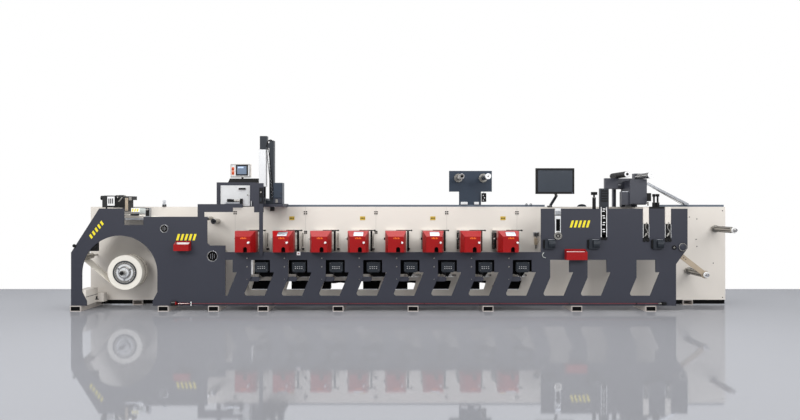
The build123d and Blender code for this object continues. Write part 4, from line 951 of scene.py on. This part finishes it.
def make_cabinet_trim():
    """Door handle slot, lock, seam and the valves on the wall top under the door."""
    low, high = corners("cabinet_door")
    y = low[1]
    front = corners("control_cabinet")[0][1]
    door_front = front - 22.3
    shapes = [
        brick((-2764, y - 2, 1834), (-2652, y + 4, 1864), 1, 0),
        disc((-2620, door_front, 1750), FRONT, 10, 4, 1, 24),
    ]
    edge = ((low[0] + 18, door_front - 1.2, low[2] + 18), (high[0] - 18, door_front + 0.5, high[2] - 18))
    shapes += frame_bars(*edge, 2, 2, 0.5)
    write_piece("cabinet_door_trim", shapes, "black_paint steel seam", "cabinet_door")
    y = WALL_FRONT - 34
    valves = [
        brick((-2941, y, 1640), (-2880, y + 50, 1686), 3, 0),
        brick((-2872, y, 1640), (-2837, y + 50, 1682), 3, 0),
        ribbed((-2829, y + 22, 1656), (-2737, y + 22, 1656), 22, 4, 4, 24, 1),
        brick((-2734, y - 4, 1597), (-2700, y + 50, 1692), 3, 0),
        brick((-2985, y - 6, 1563.5), (-2700, WALL_FRONT + 24, 1610), 3, 2),
        brick((-2960, y, 1610), (-2740, y + 40, 1638), 2, 3),
    ]
    write_piece("cabinet_valves", valves, "black_paint steel plate_paint rail_metal")
    side = [brick((high[0] + 20, front - 4, 1575), (high[0] + 30, front, 1935), 2, 0)]
    write_piece("cabinet_edge", side, "panel_grey")


def make_panel_face():
    """The operator panel's light frame, thick black bezel, grey display and two lit button blocks."""
    low, high = corners("control_panel")
    y = low[1]
    shapes = [brick((low[0] + 3, y - 5, low[2] + 3), (high[0] - 3, y, high[2] - 3), 4, 0)]
    shapes += frame_bars((low[0] + 9, y - 8, low[2] + 9), (high[0] - 9, y - 4, high[2] - 9), 7, 6, 2)
    shapes += [
        brick((-2826, y - 9, 2063), (-2630, y - 4, 2234), 3, 1),
        brick((-2804, y - 10.5, 2084), (-2654, y - 8, 2214), 1, 2),
        brick((-2792, y - 11.5, 2180), (-2700, y - 10, 2204), 0.5, 5),
        brick((high[0] - 12, y - 7, low[2] + 10), (high[0] - 5, y - 3, high[2] - 10), 1, 1),
    ]
    for z in (2076, 2140):
        shapes.append(brick((-2892, y - 8, z), (-2850, y - 4, z + 56), 2, 3))
        shapes.append(disc((-2871, y - 8, z + 28), FRONT, 14, 7, 4, 28))
    names = "panel_grey black_paint grey_screen orange red_paint screen seam"
    write_piece("control_panel_face", shapes, names, "control_panel")


# The mast

def make_mast_trim():
    """The housing's cover, the slide below it, the cable lattice beside it, and the motor's faces."""
    low, high = corners("mast_column")
    front = low[1]
    cover = [brick((low[0], front - 6, low[2]), (high[0], front, high[2]), 6, 0)]
    write_piece("mast_housing_cover", cover, "panel_grey")
    slide = [
        brick((-2351, front - 30, 1700), (-2252, front - 2, 1866), 5, 0),
        brick((-2262, front - 22, 1640), (-2183, front - 2, 1690), 4, 2),
        brick((-2340, front - 40, 1740), (-2275, front - 30, 1790), 3, 3),
        rod((-2300, front - 40, 1830), (-2300, front - 52, 1830), 12, 24, 3, 1),
        brick((-2330, front - 18, 1612), (-2290, front, 1700), 3, 0),
        brick((-2250, front - 24, 1609), (-2090, front + 20, 1662), 4, 3),
        brick((-2183, front, 1499), (-2122, front + 60, 1562), 3, 0),
        brick((-2300, PLATE_FRONT - 10, 1560), (-2245, PLATE_FRONT, 1850), 4, 0),
        brick((-2292, PLATE_FRONT - 16, 1640), (-2262, PLATE_FRONT - 9, 1700), 3, 3),
        rod((-2276, PLATE_FRONT - 10, 1780), (-2276, PLATE_FRONT - 20, 1780), 12, 20, 2, 1),
    ]
    write_piece("mast_slide", slide, "black_paint steel rail_metal machine_grey")
    y = front - 8
    left = [(-2232, y, 2441), (-2214, y, 2250), (-2192, y, 2040), (-2172, y, 1830), (-2150, y + 10, 1700)]
    right = [(-2206, y, 2452), (-2184, y, 2250), (-2160, y, 2040), (-2140, y, 1840), (-2120, y + 10, 1720)]
    lines = [tube(path, 5, 10, 0) for path in (left, right)]
    steps = np.linspace(0, 1, 27)
    across = np.where(np.arange(27) % 2 == 0, 0.0, 30.0)
    lattice = np.stack([-2238 + 84 * steps + across, np.full(27, y), 2436 - 726 * steps], axis=1)
    lines.append(tube(lattice, 3.0, 8, 1, smooth=1))
    hook = [(-2236, y + 6, 2480), (-2215, y + 6, 2560), (-2180, y + 6, 2585), (-2150, y + 6, 2576)]
    lines.append(tube(hook, 8, 10, 0))
    write_piece("mast_cables", lines, "black_plastic rail_metal")
    low, high = corners("mast_motor")
    y = low[1]
    outline = [
        (low[0] + 6, 1700), (high[0] - 6, 1700), (high[0] - 6, high[2] - 8),
        (low[0] + 40, high[2] - 8), (low[0] + 6, 1850),
    ]
    motor = [
        plate(outline, y - 8, y, 3, 0),
        brick((low[0] + 6, y - 12, 1612), (high[0] - 4, y, 1692), 5, 1),
        brick((low[0] + 34, y - 14, 1624), (low[0] + 70, y - 11, 1676), 2, 2),
        ribbed((high[0] - 16, y - 20, 1770), (high[0] - 16, y - 4, 1770), 14, 2, 2, 20, 1),
    ]
    write_piece("mast_motor_face", motor, "blue_grey plate_paint steel")


# The film unwinding module

def make_film_trim():
    """Bearings, cores, feet and the valve box of the film unwinding plate."""
    y = WALL_FRONT
    shapes = []
    for x in FILM_SHAFT_X:
        shapes.append(ring((x, y - 20, FILM_SHAFT_Z), FRONT, 30, 42, 6, 1, 36))
    shapes += [
        brick((770, y - 30, 1598), (880, y, 1640), 4, 2),
        brick((985, y - 30, 1598), (1060, y, 1640), 4, 2),
        brick((1100, y - 60, 1640), (1172, y, 1780), 5, 3),
    ]
    for i in range(3):
        shapes.append(disc((1122 + 20 * (i % 2), y - 60, 1668 + 36 * i), FRONT, 8, 5, 2, 20, bevel=1))
    shapes.append(rod((1136, y - 30, 1780), (1136, y - 30, 1803), 8, 16, 1, 2))
    write_piece("film_plate_trim", shapes, "blue_grey steel panel_grey black_paint")
    left, right = corners("film_spindle_left")[0][1], corners("film_spindle_right")[0][1]
    x, z = FILM_SHAFT_X[0], FILM_SHAFT_Z
    core = [
        sleeve((x, z), left + 4, 60, 39.5, 22, 1.5, 32),
        ring((x, left, z), FRONT, 28, 40, 8, 1, 36),
        # The near-black disc in the core's end is painted shade for its hollow
        disc((x, left, z), FRONT, 20, 3, 2, 28),
    ]
    write_piece("film_core_left", core, "steel chromed dark_gap", "film_spool_left")
    x = FILM_SHAFT_X[1]
    core = [
        sleeve((x, z), right + 4, 60, 39.5, 22, 1.5, 32),
        disc((x, right, z), FRONT, 44, 10, 1, 40, dish=4),
        disc((x, right - 6, z), FRONT, 12, 8, 0, 24),
    ]
    write_piece("film_core_right", core, "steel white", "film_spool_right")


@operator
class PRESS_OT_wall(bpy.types.Operator):
    """Adds bolts, seams, marks and valves to the wall"""
    bl_idname = "press.wall"
    bl_label = "Wall"

    def execute(self, context):
        make_wall_fittings()
        return {"FINISHED"}


@operator
class PRESS_OT_top_units(bpy.types.Operator):
    """Adds the trim of the cabinet, the operator panel, the mast and the film module"""
    bl_idname = "press.top_units"
    bl_label = "Units above the wall"

    def execute(self, context):
        make_cabinet_trim()
        make_panel_face()
        make_mast_trim()
        make_film_trim()
        return {"FINISHED"}


# The die-cutting section

def make_die_slots():
    """The light plate and disc in the first slot, the chain in the second, tool holders in the others."""
    y = PLATE_FRONT
    shapes = [
        brick((2125, y - 2, 1140), (2213, y + 8, 1545), 4, 6),
        brick((2123, y - 6, 1432), (2215, y, 1446), 2, 1),
        brick((2131, y - 5, 1450), (2207, y, 1500), 3, 0),
        # Painted shade: a near-black plate for the depth of the first slot's slit
        brick((2141, y - 6, 1201), (2201, y, 1380), 5, 2),
        disc((2169, y - 4, 1130), FRONT, 60, 9, 3, 44, dish=3),
        ring((2169, y - 12, 1130), FRONT, 18, 30, 3, 1, 32),
        brick((2812, y - 3, 1110), (2822, y + 8, 1560), 2, 5),
        brick((2894, y - 3, 1110), (2904, y + 8, 1560), 2, 5),
        # Painted shade: a near-black plate for the depth of the second slot behind its chain
        brick((2826, y + 2, 1090), (2890, y + 10, 1560), 3, 2),
    ]
    for i in range(12):
        z = 1150 + 34 * i
        left = 2834 + (8 if i % 2 else 0)
        shapes.append(brick((left, y - 4, z), (left + 36, y + 4, z + 14), 2, 5 if i % 3 else 1))
    for x in (2834, 2882):
        shapes.append(disc((x, y - 3, 1085), FRONT, 22, 10, 1, 24))
    for x in HOLDER_SLOT_X:
        hose = [
            (x - 22, y - 12, 1120), (x + 18, y - 14, 1190),
            (x - 14, y - 14, 1250), (x + 6, y - 12, 1330),
        ]
        shapes += [
            brick((x - 43, y - 3, 1305), (x + 43, y + 8, 1556), 4, 4),
            brick((x - 40, y - 8, 1100), (x + 40, y + 4, 1304), 5, 1),
            brick((x - 46, y - 4, 1100), (x - 40, y + 4, 1304), 1.5, 5),
            brick((x + 40, y - 4, 1100), (x + 46, y + 4, 1304), 1.5, 5),
            tube(hose, 9, 10, 3),
            rod((x, y - 10, 1150), (x, y - 20, 1150), 17, 28, 3, 3),
        ]
        for dx in (-26, 26):
            shapes.append(disc((x + dx, y, 1060), FRONT, 24, 12, 1, 28))
    names = "rail_metal black_paint dark_gap steel wall_paint white panel_grey"
    write_piece("die_slot_tools", shapes, names)


def make_die_heads():
    """Round black faces of the drive heads, the bridge's dark face, the knobs' grips and the end knobs."""
    y = corners("die_drive_heads")[0][1]
    front = PLATE_FRONT
    shapes = []
    for x in DRIVE_HEAD_X:
        shapes += [
            # The black slab left of each head is a black box on the second and third heads, and painted
            # shadow beside the first
            brick((x - 96, front - 30, 940), (x - 30, front, 1070), 5, 0),
            ribbed((x - 20, y + 18, 1006), (x + 72, y + 18, 1006), 58, 5, 2, 36, 1),
            # Painted highlight: a light aluminium strip along the top edge of each head
            brick((x - 30, y - 2, 1068), (x + 70, y + 30, 1077), 3, 2),
            disc((x - 70, front - 30, 946), FRONT, 6, 4, 2, 16, bevel=1),
        ]
    write_piece("die_head_faces", shapes, "black_paint machine_grey rail_metal")
    bridge = [
        brick((2806, front - 4, 1560), (2925, front, 1832), 4, 0),
        brick((2816, front - 7, 1640), (2915, front - 3, 1812), 3, 1),
    ]
    for z in range(1660, 1812, 38):
        bridge.append(brick((2822, front - 8.5, z), (2909, front - 6, z + 12), 1, 0))
    write_piece("die_bridge_face", bridge, "machine_grey black_paint")
    middle = (PLATE_FRONT + PLATE_BACK) / 2
    grips = [
        ribbed((2713, middle, 1742), (2713, middle, 1783), 47, 8, 2.5, 40, 0),
        ring((2713, middle, 1699), UP, 15, 28, 6, 1, 30),
    ]
    for x in (3610, 3665):
        grips.append(ribbed((x, middle, 1718), (x, middle, 1753), 25.5, 6, 1.5, 30, 0))
        grips.append(ring((x, middle, 1622), UP, 15, 25, 6, 1, 26))
    write_piece("die_knob_grips", grips, "black_plastic steel")
    side = [
        disc((3907, front, 953), FRONT, 34, 10, 1, 36),
        disc((3907, front - 10, 953), FRONT, 12, 6, 0, 24),
        lathe([(62, 0), (62, 18), (58, 24), (40, 26), (30, 34), (0, 35)], (4030, front, 960), FRONT, 40, 2),
        ring((4030, front - 18, 960), FRONT, 50, 60, 7, 0, 40),
    ]
    write_piece("die_end_knobs", side, "steel black_paint plate_paint")
    line = [(1960, front - 6, 880), (1935, front - 12, 850), (1945, front - 12, 815), (1985, front - 6, 800)]
    write_piece("die_front_cable", [tube(line, 4, 8, 0)], "clear_hose")


def make_tray_highlights():
    """White plates on the floor and back of the two tool trays: a painted highlight for the light inside of
    their openings.
    """
    shapes = []
    for left, right, bottom in ((-3546, -3323, 910), (2270, 2577, 775)):
        # Painted highlight: white plates inside each tray
        shapes.append(brick((left + 8, -600, bottom + 6), (right - 8, -497, bottom + 14), 2, 0))
        shapes.append(brick((left + 8, -500, bottom + 16), (right - 8, -496, bottom + 120), 1.5, 0))
    write_piece("tray_painted_highlights", shapes, "white")


def make_monitor_face():
    """The monitor's wide black bezel, its display, a small lamp and rear ribs, and the ring of its arm."""
    low, high = corners("monitor")
    y = low[1]
    shapes = frame_bars((low[0] + 2, y - 6, low[2] + 2), (high[0] - 2, y, high[2] - 2), 30, 0, 3)
    shapes.append(brick((low[0] + 30, y - 3, low[2] + 30), (high[0] - 30, y + 0.5, high[2] - 30), 1, 1))
    shapes.append(disc((high[0] - 36, y - 6, low[2] + 14), FRONT, 4, 2, 2, 16, bevel=0.6))
    back = y + 42
    for i in range(9):
        z = low[2] + 60 + 34 * i
        shapes.append(brick((low[0] + 60, back - 1, z), (low[0] + 200, back + 4, z + 12), 2, 0))
        shapes.append(brick((high[0] - 200, back - 1, z), (high[0] - 60, back + 4, z + 12), 2, 0))
    write_piece("monitor_face", shapes, "black_plastic dark_screen screen", "monitor_head")
    arm = [ring((2190, 142.5, WALL_TOP + 12), UP, 22, 40, 6, 0, 32)]
    for angle in np.arange(4) * pi / 2:
        place = (2190 + 32 * np.cos(angle), 142.5 + 32 * np.sin(angle), WALL_TOP + 12)
        arm.append(lathe([(6, 0), (6, 5), (4, 6), (0, 6)], place, UP, 12, 0))
    write_piece("monitor_arm_rings", arm, "steel")


def make_wall_top_fittings():
    """Clamps and a small round-backed cover on the top of the wall."""
    top = WALL_TOP
    shapes = []
    for x in (1820, 1890):
        shapes.append(brick((x - 20, 130, top + 17), (x + 20, 154, top + 48), 3, 0))
        shapes.append(rod((x, 142, top + 48), (x, 142, top + 58), 9, 16, 2, 1))
    arc = np.linspace(0, pi, 13)
    lens = [(2703 + 72 * np.cos(a), top + 2 + 40 * np.sin(a)) for a in arc]
    shapes.append(plate(lens, 131, 154, 2, 2))
    write_piece("wall_top_fittings", shapes, "rail_metal steel machine_grey")


@operator
class PRESS_OT_die_section(bpy.types.Operator):
    """Adds tools, faces, grips and the monitor of the die-cutting section"""
    bl_idname = "press.die_section"
    bl_label = "Die-cutting section"

    def execute(self, context):
        make_die_slots()
        make_die_heads()
        make_tray_highlights()
        make_monitor_face()
        make_wall_top_fittings()
        return {"FINISHED"}


# The matrix unit and the rewinder

def make_matrix_trim():
    """Face, screws and bars of the matrix unit, and the sleeves of its shaft and its roller."""
    front = -330
    shapes = [
        brick((3306, front - 4, 1609), (3556, front, 1980), 6, 0),
        brick((3003, -106, 1845), (3200, -100, 2004), 6, 0),
        brick((3210, -34, 1900), (3270, -30, 1912), 1, 3),
        brick((3192, -304, 1786), (3300, -300, 1800), 2, 3),
        brick((3366, 40, 1564), (3459, 120, 1592), 3, 3),
        brick((3700, 50, 1650), (3776, 128, 1780), 5, 2),
        rod((3738, 90, 1640), (3738, 90, 1580), 12, 18, 2, 1),
    ]
    write_piece("matrix_trim", shapes, "matrix_paint steel black_paint rail_metal")
    x, z = MATRIX_SHAFT
    shaft = [
        sleeve((x, z), -478, 35, 43.5, 24, 3.0),
        ring((x, -494, z), FRONT, 20, 46, 4, 1, 40),
        disc((x, -494, z), FRONT, 18, 3, 1, 28),
    ]
    for k, angle in enumerate(np.arange(12) * pi / 6):
        side, up = x + 42 * np.cos(angle), z + 42 * np.sin(angle)
        shade = 2 if k % 3 else 1
        for start in range(-470 + 30 * (k % 2), 20, 60):
            shaft.append(rod((side, start, up), (side, start + 30, up), 4, 8, 1, shade))
    names = "black_paint white rail_metal"
    write_piece("matrix_shaft_sleeve", shaft, names, "matrix_rewind_spindle")
    x, z = MATRIX_ROLLER
    bar = [
        sleeve((x, z), -480, 150, 45.5, 40, 2.5),
        ring((x, -485, z), FRONT, 20, 42, 4, 1, 40),
    ]
    write_piece("matrix_roller_sleeve", bar, "black_paint white")


def make_cable_tray_trim():
    """Dark edges and rungs of the cable tray."""
    low, high = corners("cable_tray")
    y0, y1 = low[1], high[1]
    line = np.array([(3590, 1942), (3744, 1942), (4316, 1616)], float)
    pieces = []
    for y in (y0 + 3, y1 - 3):
        for dz in (-26, 0):
            points = np.stack([line[:, 0], np.full(3, y), line[:, 1] + dz], axis=1)
            pieces.append(tube(points, 3.5, 8, 0, smooth=1))
    run = line[2] - line[1]
    for i in range(12):
        x, z = line[1] + run * (i + 0.5) / 12
        pieces.append(rod((x, y0 + 4, z + 1), (x, y1 - 4, z + 1), 4, 8, 1, 1))
    write_piece("cable_tray_edges", pieces, "rubber rail_metal")


def make_rewind_shafts():
    """Striped sleeves, silver end discs and nuts of the two rewinding shafts, and the arm's eye."""
    for side, (x, z) in (("upper", UPPER_SHAFT), ("lower", LOWER_SHAFT)):
        node = side + "_rewind_shaft"
        tip = corners(node)[0][1]
        shapes = [
            sleeve((x, z), -440, 60, 39.5, 16, 1.5),
            ring((x, tip + 54, z), FRONT, 24, 45, 3, 3, 40),
            disc((x, tip, z), FRONT, 21, 3, 1, 28, bevel=1, dish=1),
            ring((x, tip + 30, z), FRONT, 22, 27, 14, 1, 30),
        ]
        for angle in np.arange(6) * pi / 3 + 0.4:
            dx, dz = 40.5 * np.cos(angle), 40.5 * np.sin(angle)
            shapes.append(rod((x + dx, -430, z + dz), (x + dx, 50, z + dz), 6, 10, 1, 2))
        names = "steel chromed black_paint white"
        write_piece(node + "_sleeve", shapes, names, side + "_rewind_spindle")
    x, z = LOWER_SHAFT
    eye = [
        ring((x, PLATE_BACK, z), FRONT, 40, 56, 4, 0, 44),
        screws([(4060, 799), (4090, 775)], PLATE_BACK, 8, 6, 1),
    ]
    write_piece("support_arm_eye", eye, "beige black_paint")


@operator
class PRESS_OT_rewinder(bpy.types.Operator):
    """Adds the trim of the matrix unit, the cable tray and the rewinding shafts"""
    bl_idname = "press.rewinder"
    bl_label = "Matrix unit and rewinder"

    def execute(self, context):
        make_matrix_trim()
        make_cable_tray_trim()
        make_rewind_shafts()
        return {"FINISHED"}


# The feet, the pull cord's fittings and the drive side

def make_feet():
    """Dark plates in the open ends of the foot beams, painted shade for the inside of the beams."""
    places = (-5040, -3730, -2980, -2240, -1120, 0, 1120, 2445, 3550)
    shapes = [brick((x - 69, -518, 10), (x + 69, -508, 72), 2, 0) for x in places]
    write_piece("foot_ends", shapes, "dark_gap")


def make_cord_fittings():
    """The pull cord's lever, its red end, the thick sheath up to a white eye, and the anchor."""
    shapes = [
        brick((-3606, -540, 130), (-3545, -536, 148), 2, 2),
        brick((-3545, -541, 104), (-3527, -536, 150), 3, 0),
        rod((-3520, CORD_Y, CORD_Z), (-3340, CORD_Y, CORD_Z), 8, 12, 2, 0),
        # Painted highlight: a thin steel rod along the front of the red sheath stands for the light line
        # down its middle
        rod((-3510, -525, 120), (-3346, -525, 120), 2.5, 8, 0.5, 2),
        brick((-3322, -524, 84), (-3308, -508, 146), 3, 3),
        brick((3714, -534, 100), (3780, -530, 136), 3, 1),
        ribbed((3660, CORD_Y, CORD_Z), (3708, CORD_Y, CORD_Z), 11, 9, 3, 16, 2),
    ]
    write_piece("cord_switch_face", shapes, "red_paint black_paint steel white")


def make_drive_side():
    """Handles, hinges and cooling slots on the doors of the drive side; the slots are near-black bars
    painted as the shade inside them.
    """
    low, high = corners("rear_doors")
    pitch = (high[0] - low[0] + DOOR_GAP) / REAR_DOORS
    y = high[1]
    shapes = []
    for left in low[0] + pitch * np.arange(REAR_DOORS):
        right = left + pitch - DOOR_GAP
        shapes += [
            brick((right - 70, y, 980), (right - 44, y + 8, 1100), 3, 0),
            brick((left + 30, y, 560), (left + 52, y + 6, 640), 2, 0),
            brick((left + 30, y, 1380), (left + 52, y + 6, 1460), 2, 0),
        ]
        for z in range(620, 828, 26):
            # Painted shade: each cooling slot is a near-black bar
            shapes.append(brick((left + 300, y, z), (right - 300, y + 5, z + 10), 2, 1))
    write_piece("rear_door_fittings", shapes, "black_paint dark_gap")


@operator
class PRESS_OT_base(bpy.types.Operator):
    """Adds the ends of the feet, the pull cord's switch and the drive side's handles"""
    bl_idname = "press.base"
    bl_label = "Feet, pull cord and drive side"

    def execute(self, context):
        make_feet()
        make_cord_fittings()
        make_drive_side()
        return {"FINISHED"}


# The studio

@operator
class PRESS_OT_studio(bpy.types.Operator):
    """Makes the floor, the backdrop, the lamps and the camera"""
    bl_idname = "press.studio"
    bl_label = "Studio"

    def execute(self, context):
        studio = context.scene.press_studio
        make_floor(studio)
        make_backdrop(studio)
        make_lamps()
        make_camera(context.scene, studio)
        return {"FINISHED"}


def flat_stage(name, points, material):
    """A flat sheet of four points that belongs to the studio."""
    mesh = bpy.data.meshes.new(name)
    mesh.from_pydata(points, [], [(0, 1, 2, 3)])
    mesh.materials.append(material)
    piece = bpy.data.objects.new(name, mesh)
    bpy.context.scene.collection.objects.link(piece)


def mix(tree, share, first, second):
    """The output of a mix of two shaders."""
    return add(tree, "MixShader", {"Fac": share, 1: first, 2: second}).outputs[0]


def make_floor(studio):
    """A smooth grey floor: an even mix of a matt colour and a clear mirror."""
    material, tree = new_material("studio_floor")
    tree.nodes.clear()
    base = linear(studio.floor_grey)
    cloud = noise(tree, coordinates(tree), 0.4, 3.0)
    matt = add(tree, "BsdfDiffuse", {"Color": two_colours(tree, cloud, base * 0.99, base * 1.01)})
    mirror = add(tree, "BsdfGlossy", {"Color": (0.62, 0.64, 0.68, 1), "Roughness": 0.04})
    surface = mix(tree, studio.mirror, matt.outputs[0], mirror.outputs[0])
    add(tree, "OutputMaterial", {"Surface": surface})
    reach, back = FLOOR_REACH, studio.backdrop_y
    points = [(-reach, -reach, 0), (reach, -reach, 0), (reach, back, 0), (-reach, back, 0)]
    flat_stage("studio_floor", points, material)


def make_backdrop(studio):
    """A white sweep that the camera, mirrors and glass see as plain white, and that is clear from behind."""
    material, tree = new_material("studio_white")
    tree.nodes.clear()
    rays = add(tree, "LightPath").outputs
    seen = rays["Is Camera Ray"]
    for ray in ("Is Glossy Ray", "Is Transmission Ray"):
        seen = add(tree, "Math", {0: seen, 1: rays[ray]}, operation="MAXIMUM").outputs[0]
    glow = add(tree, "Emission", {"Color": (1, 1, 1, 1), "Strength": 1.0})
    matt = add(tree, "BsdfDiffuse", {"Color": (0.8, 0.8, 0.8, 1)})
    front = mix(tree, seen, matt.outputs[0], glow.outputs[0])
    behind = add(tree, "NewGeometry").outputs["Backfacing"]
    clear = add(tree, "BsdfTransparent")
    add(tree, "OutputMaterial", {"Surface": mix(tree, behind, front, clear.outputs[0])})
    reach, y, top = FLOOR_REACH, studio.backdrop_y, BACKDROP_HEIGHT
    points = [(-reach, y, 0), (reach, y, 0), (reach, y, top), (-reach, y, top)]
    flat_stage("studio_backdrop", points, material)


def make_lamps():
    """Two wide soft lamps in front, one above and one behind, and an even world, white to the camera."""
    world = bpy.data.worlds.new("studio_world")
    bpy.context.scene.world = world
    world.use_nodes = True
    tree = world.node_tree
    seen = add(tree, "LightPath").outputs["Is Camera Ray"]
    values = {0: seen, 1: 1.0 - WORLD_LIGHT, 2: WORLD_LIGHT}
    strength = add(tree, "Math", values, operation="MULTIPLY_ADD").outputs[0]
    fill(tree, tree.nodes["Background"], {"Color": (1, 1, 1, 1), "Strength": strength})
    places = [
        ("soft_front_left", (-6.5, -7.5, 5.2), 6.0, 430.0),
        ("soft_front_right", (6.0, -7.5, 4.6), 6.0, 330.0),
        ("soft_above", (0.0, -1.5, 6.5), 8.0, 330.0),
        ("soft_behind", (0.0, 1.6, 5.5), 5.0, 120.0),
    ]
    for name, place, size, power in places:
        lamp = bpy.data.lights.new(name, "AREA")
        lamp.shape = "RECTANGLE"
        lamp.size = size
        lamp.size_y = size * 0.5
        lamp.energy = power
        holder = bpy.data.objects.new(name, lamp)
        holder.location = place
        aim = Vector((place[0] * 0.4, 0.0, 0.8)) - Vector(place)
        holder.rotation_euler = aim.to_track_quat("-Z", "Y").to_euler()
        bpy.context.scene.collection.objects.link(holder)


def make_camera(scene, studio):
    """The camera of the reference view: level, square to the press, with a small shift."""
    data = bpy.data.cameras.new("studio_camera")
    data.sensor_width = 36.0
    data.lens = studio.lens
    data.shift_y = studio.horizon
    data.clip_end = 200.0
    camera = bpy.data.objects.new("studio_camera", data)
    camera.location = (studio.camera_x, studio.camera_y, studio.camera_z)
    camera.rotation_euler = (pi / 2, 0, 0)
    scene.collection.objects.link(camera)
    scene.camera = camera
    scene.view_settings.view_transform = "Standard"


class PRESS_PT_panel(bpy.types.Panel):
    """Lists the steps and the values of the press"""
    bl_label = "Label press"
    bl_idname = "PRESS_PT_panel"
    bl_space_type = "VIEW_3D"
    bl_region_type = "UI"
    bl_category = "Label press"

    def draw(self, context):
        scene = context.scene
        for group in (scene.press_colours, scene.press_sizes, scene.press_studio):
            for name in group.__annotations__:
                self.layout.prop(group, name)
        for step in OPERATORS:
            self.layout.operator(step.bl_idname)


CLASSES = [PressColours, PressSizes, StudioSettings, PRESS_PT_panel]


def register():
    for cls in CLASSES + OPERATORS:
        bpy.utils.register_class(cls)
    bpy.types.Scene.press_colours = bpy.props.PointerProperty(type=PressColours)
    bpy.types.Scene.press_sizes = bpy.props.PointerProperty(type=PressSizes)
    bpy.types.Scene.press_studio = bpy.props.PointerProperty(type=StudioSettings)


def unregister():
    del bpy.types.Scene.press_colours
    del bpy.types.Scene.press_sizes
    del bpy.types.Scene.press_studio
    for cls in reversed(CLASSES + OPERATORS):
        bpy.utils.unregister_class(cls)


def main():
    """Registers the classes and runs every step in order."""
    register()
    for step in OPERATORS:
        group, name = step.bl_idname.split(".")
        getattr(getattr(bpy.ops, group), name)()


if __name__ == "__main__":
    main()
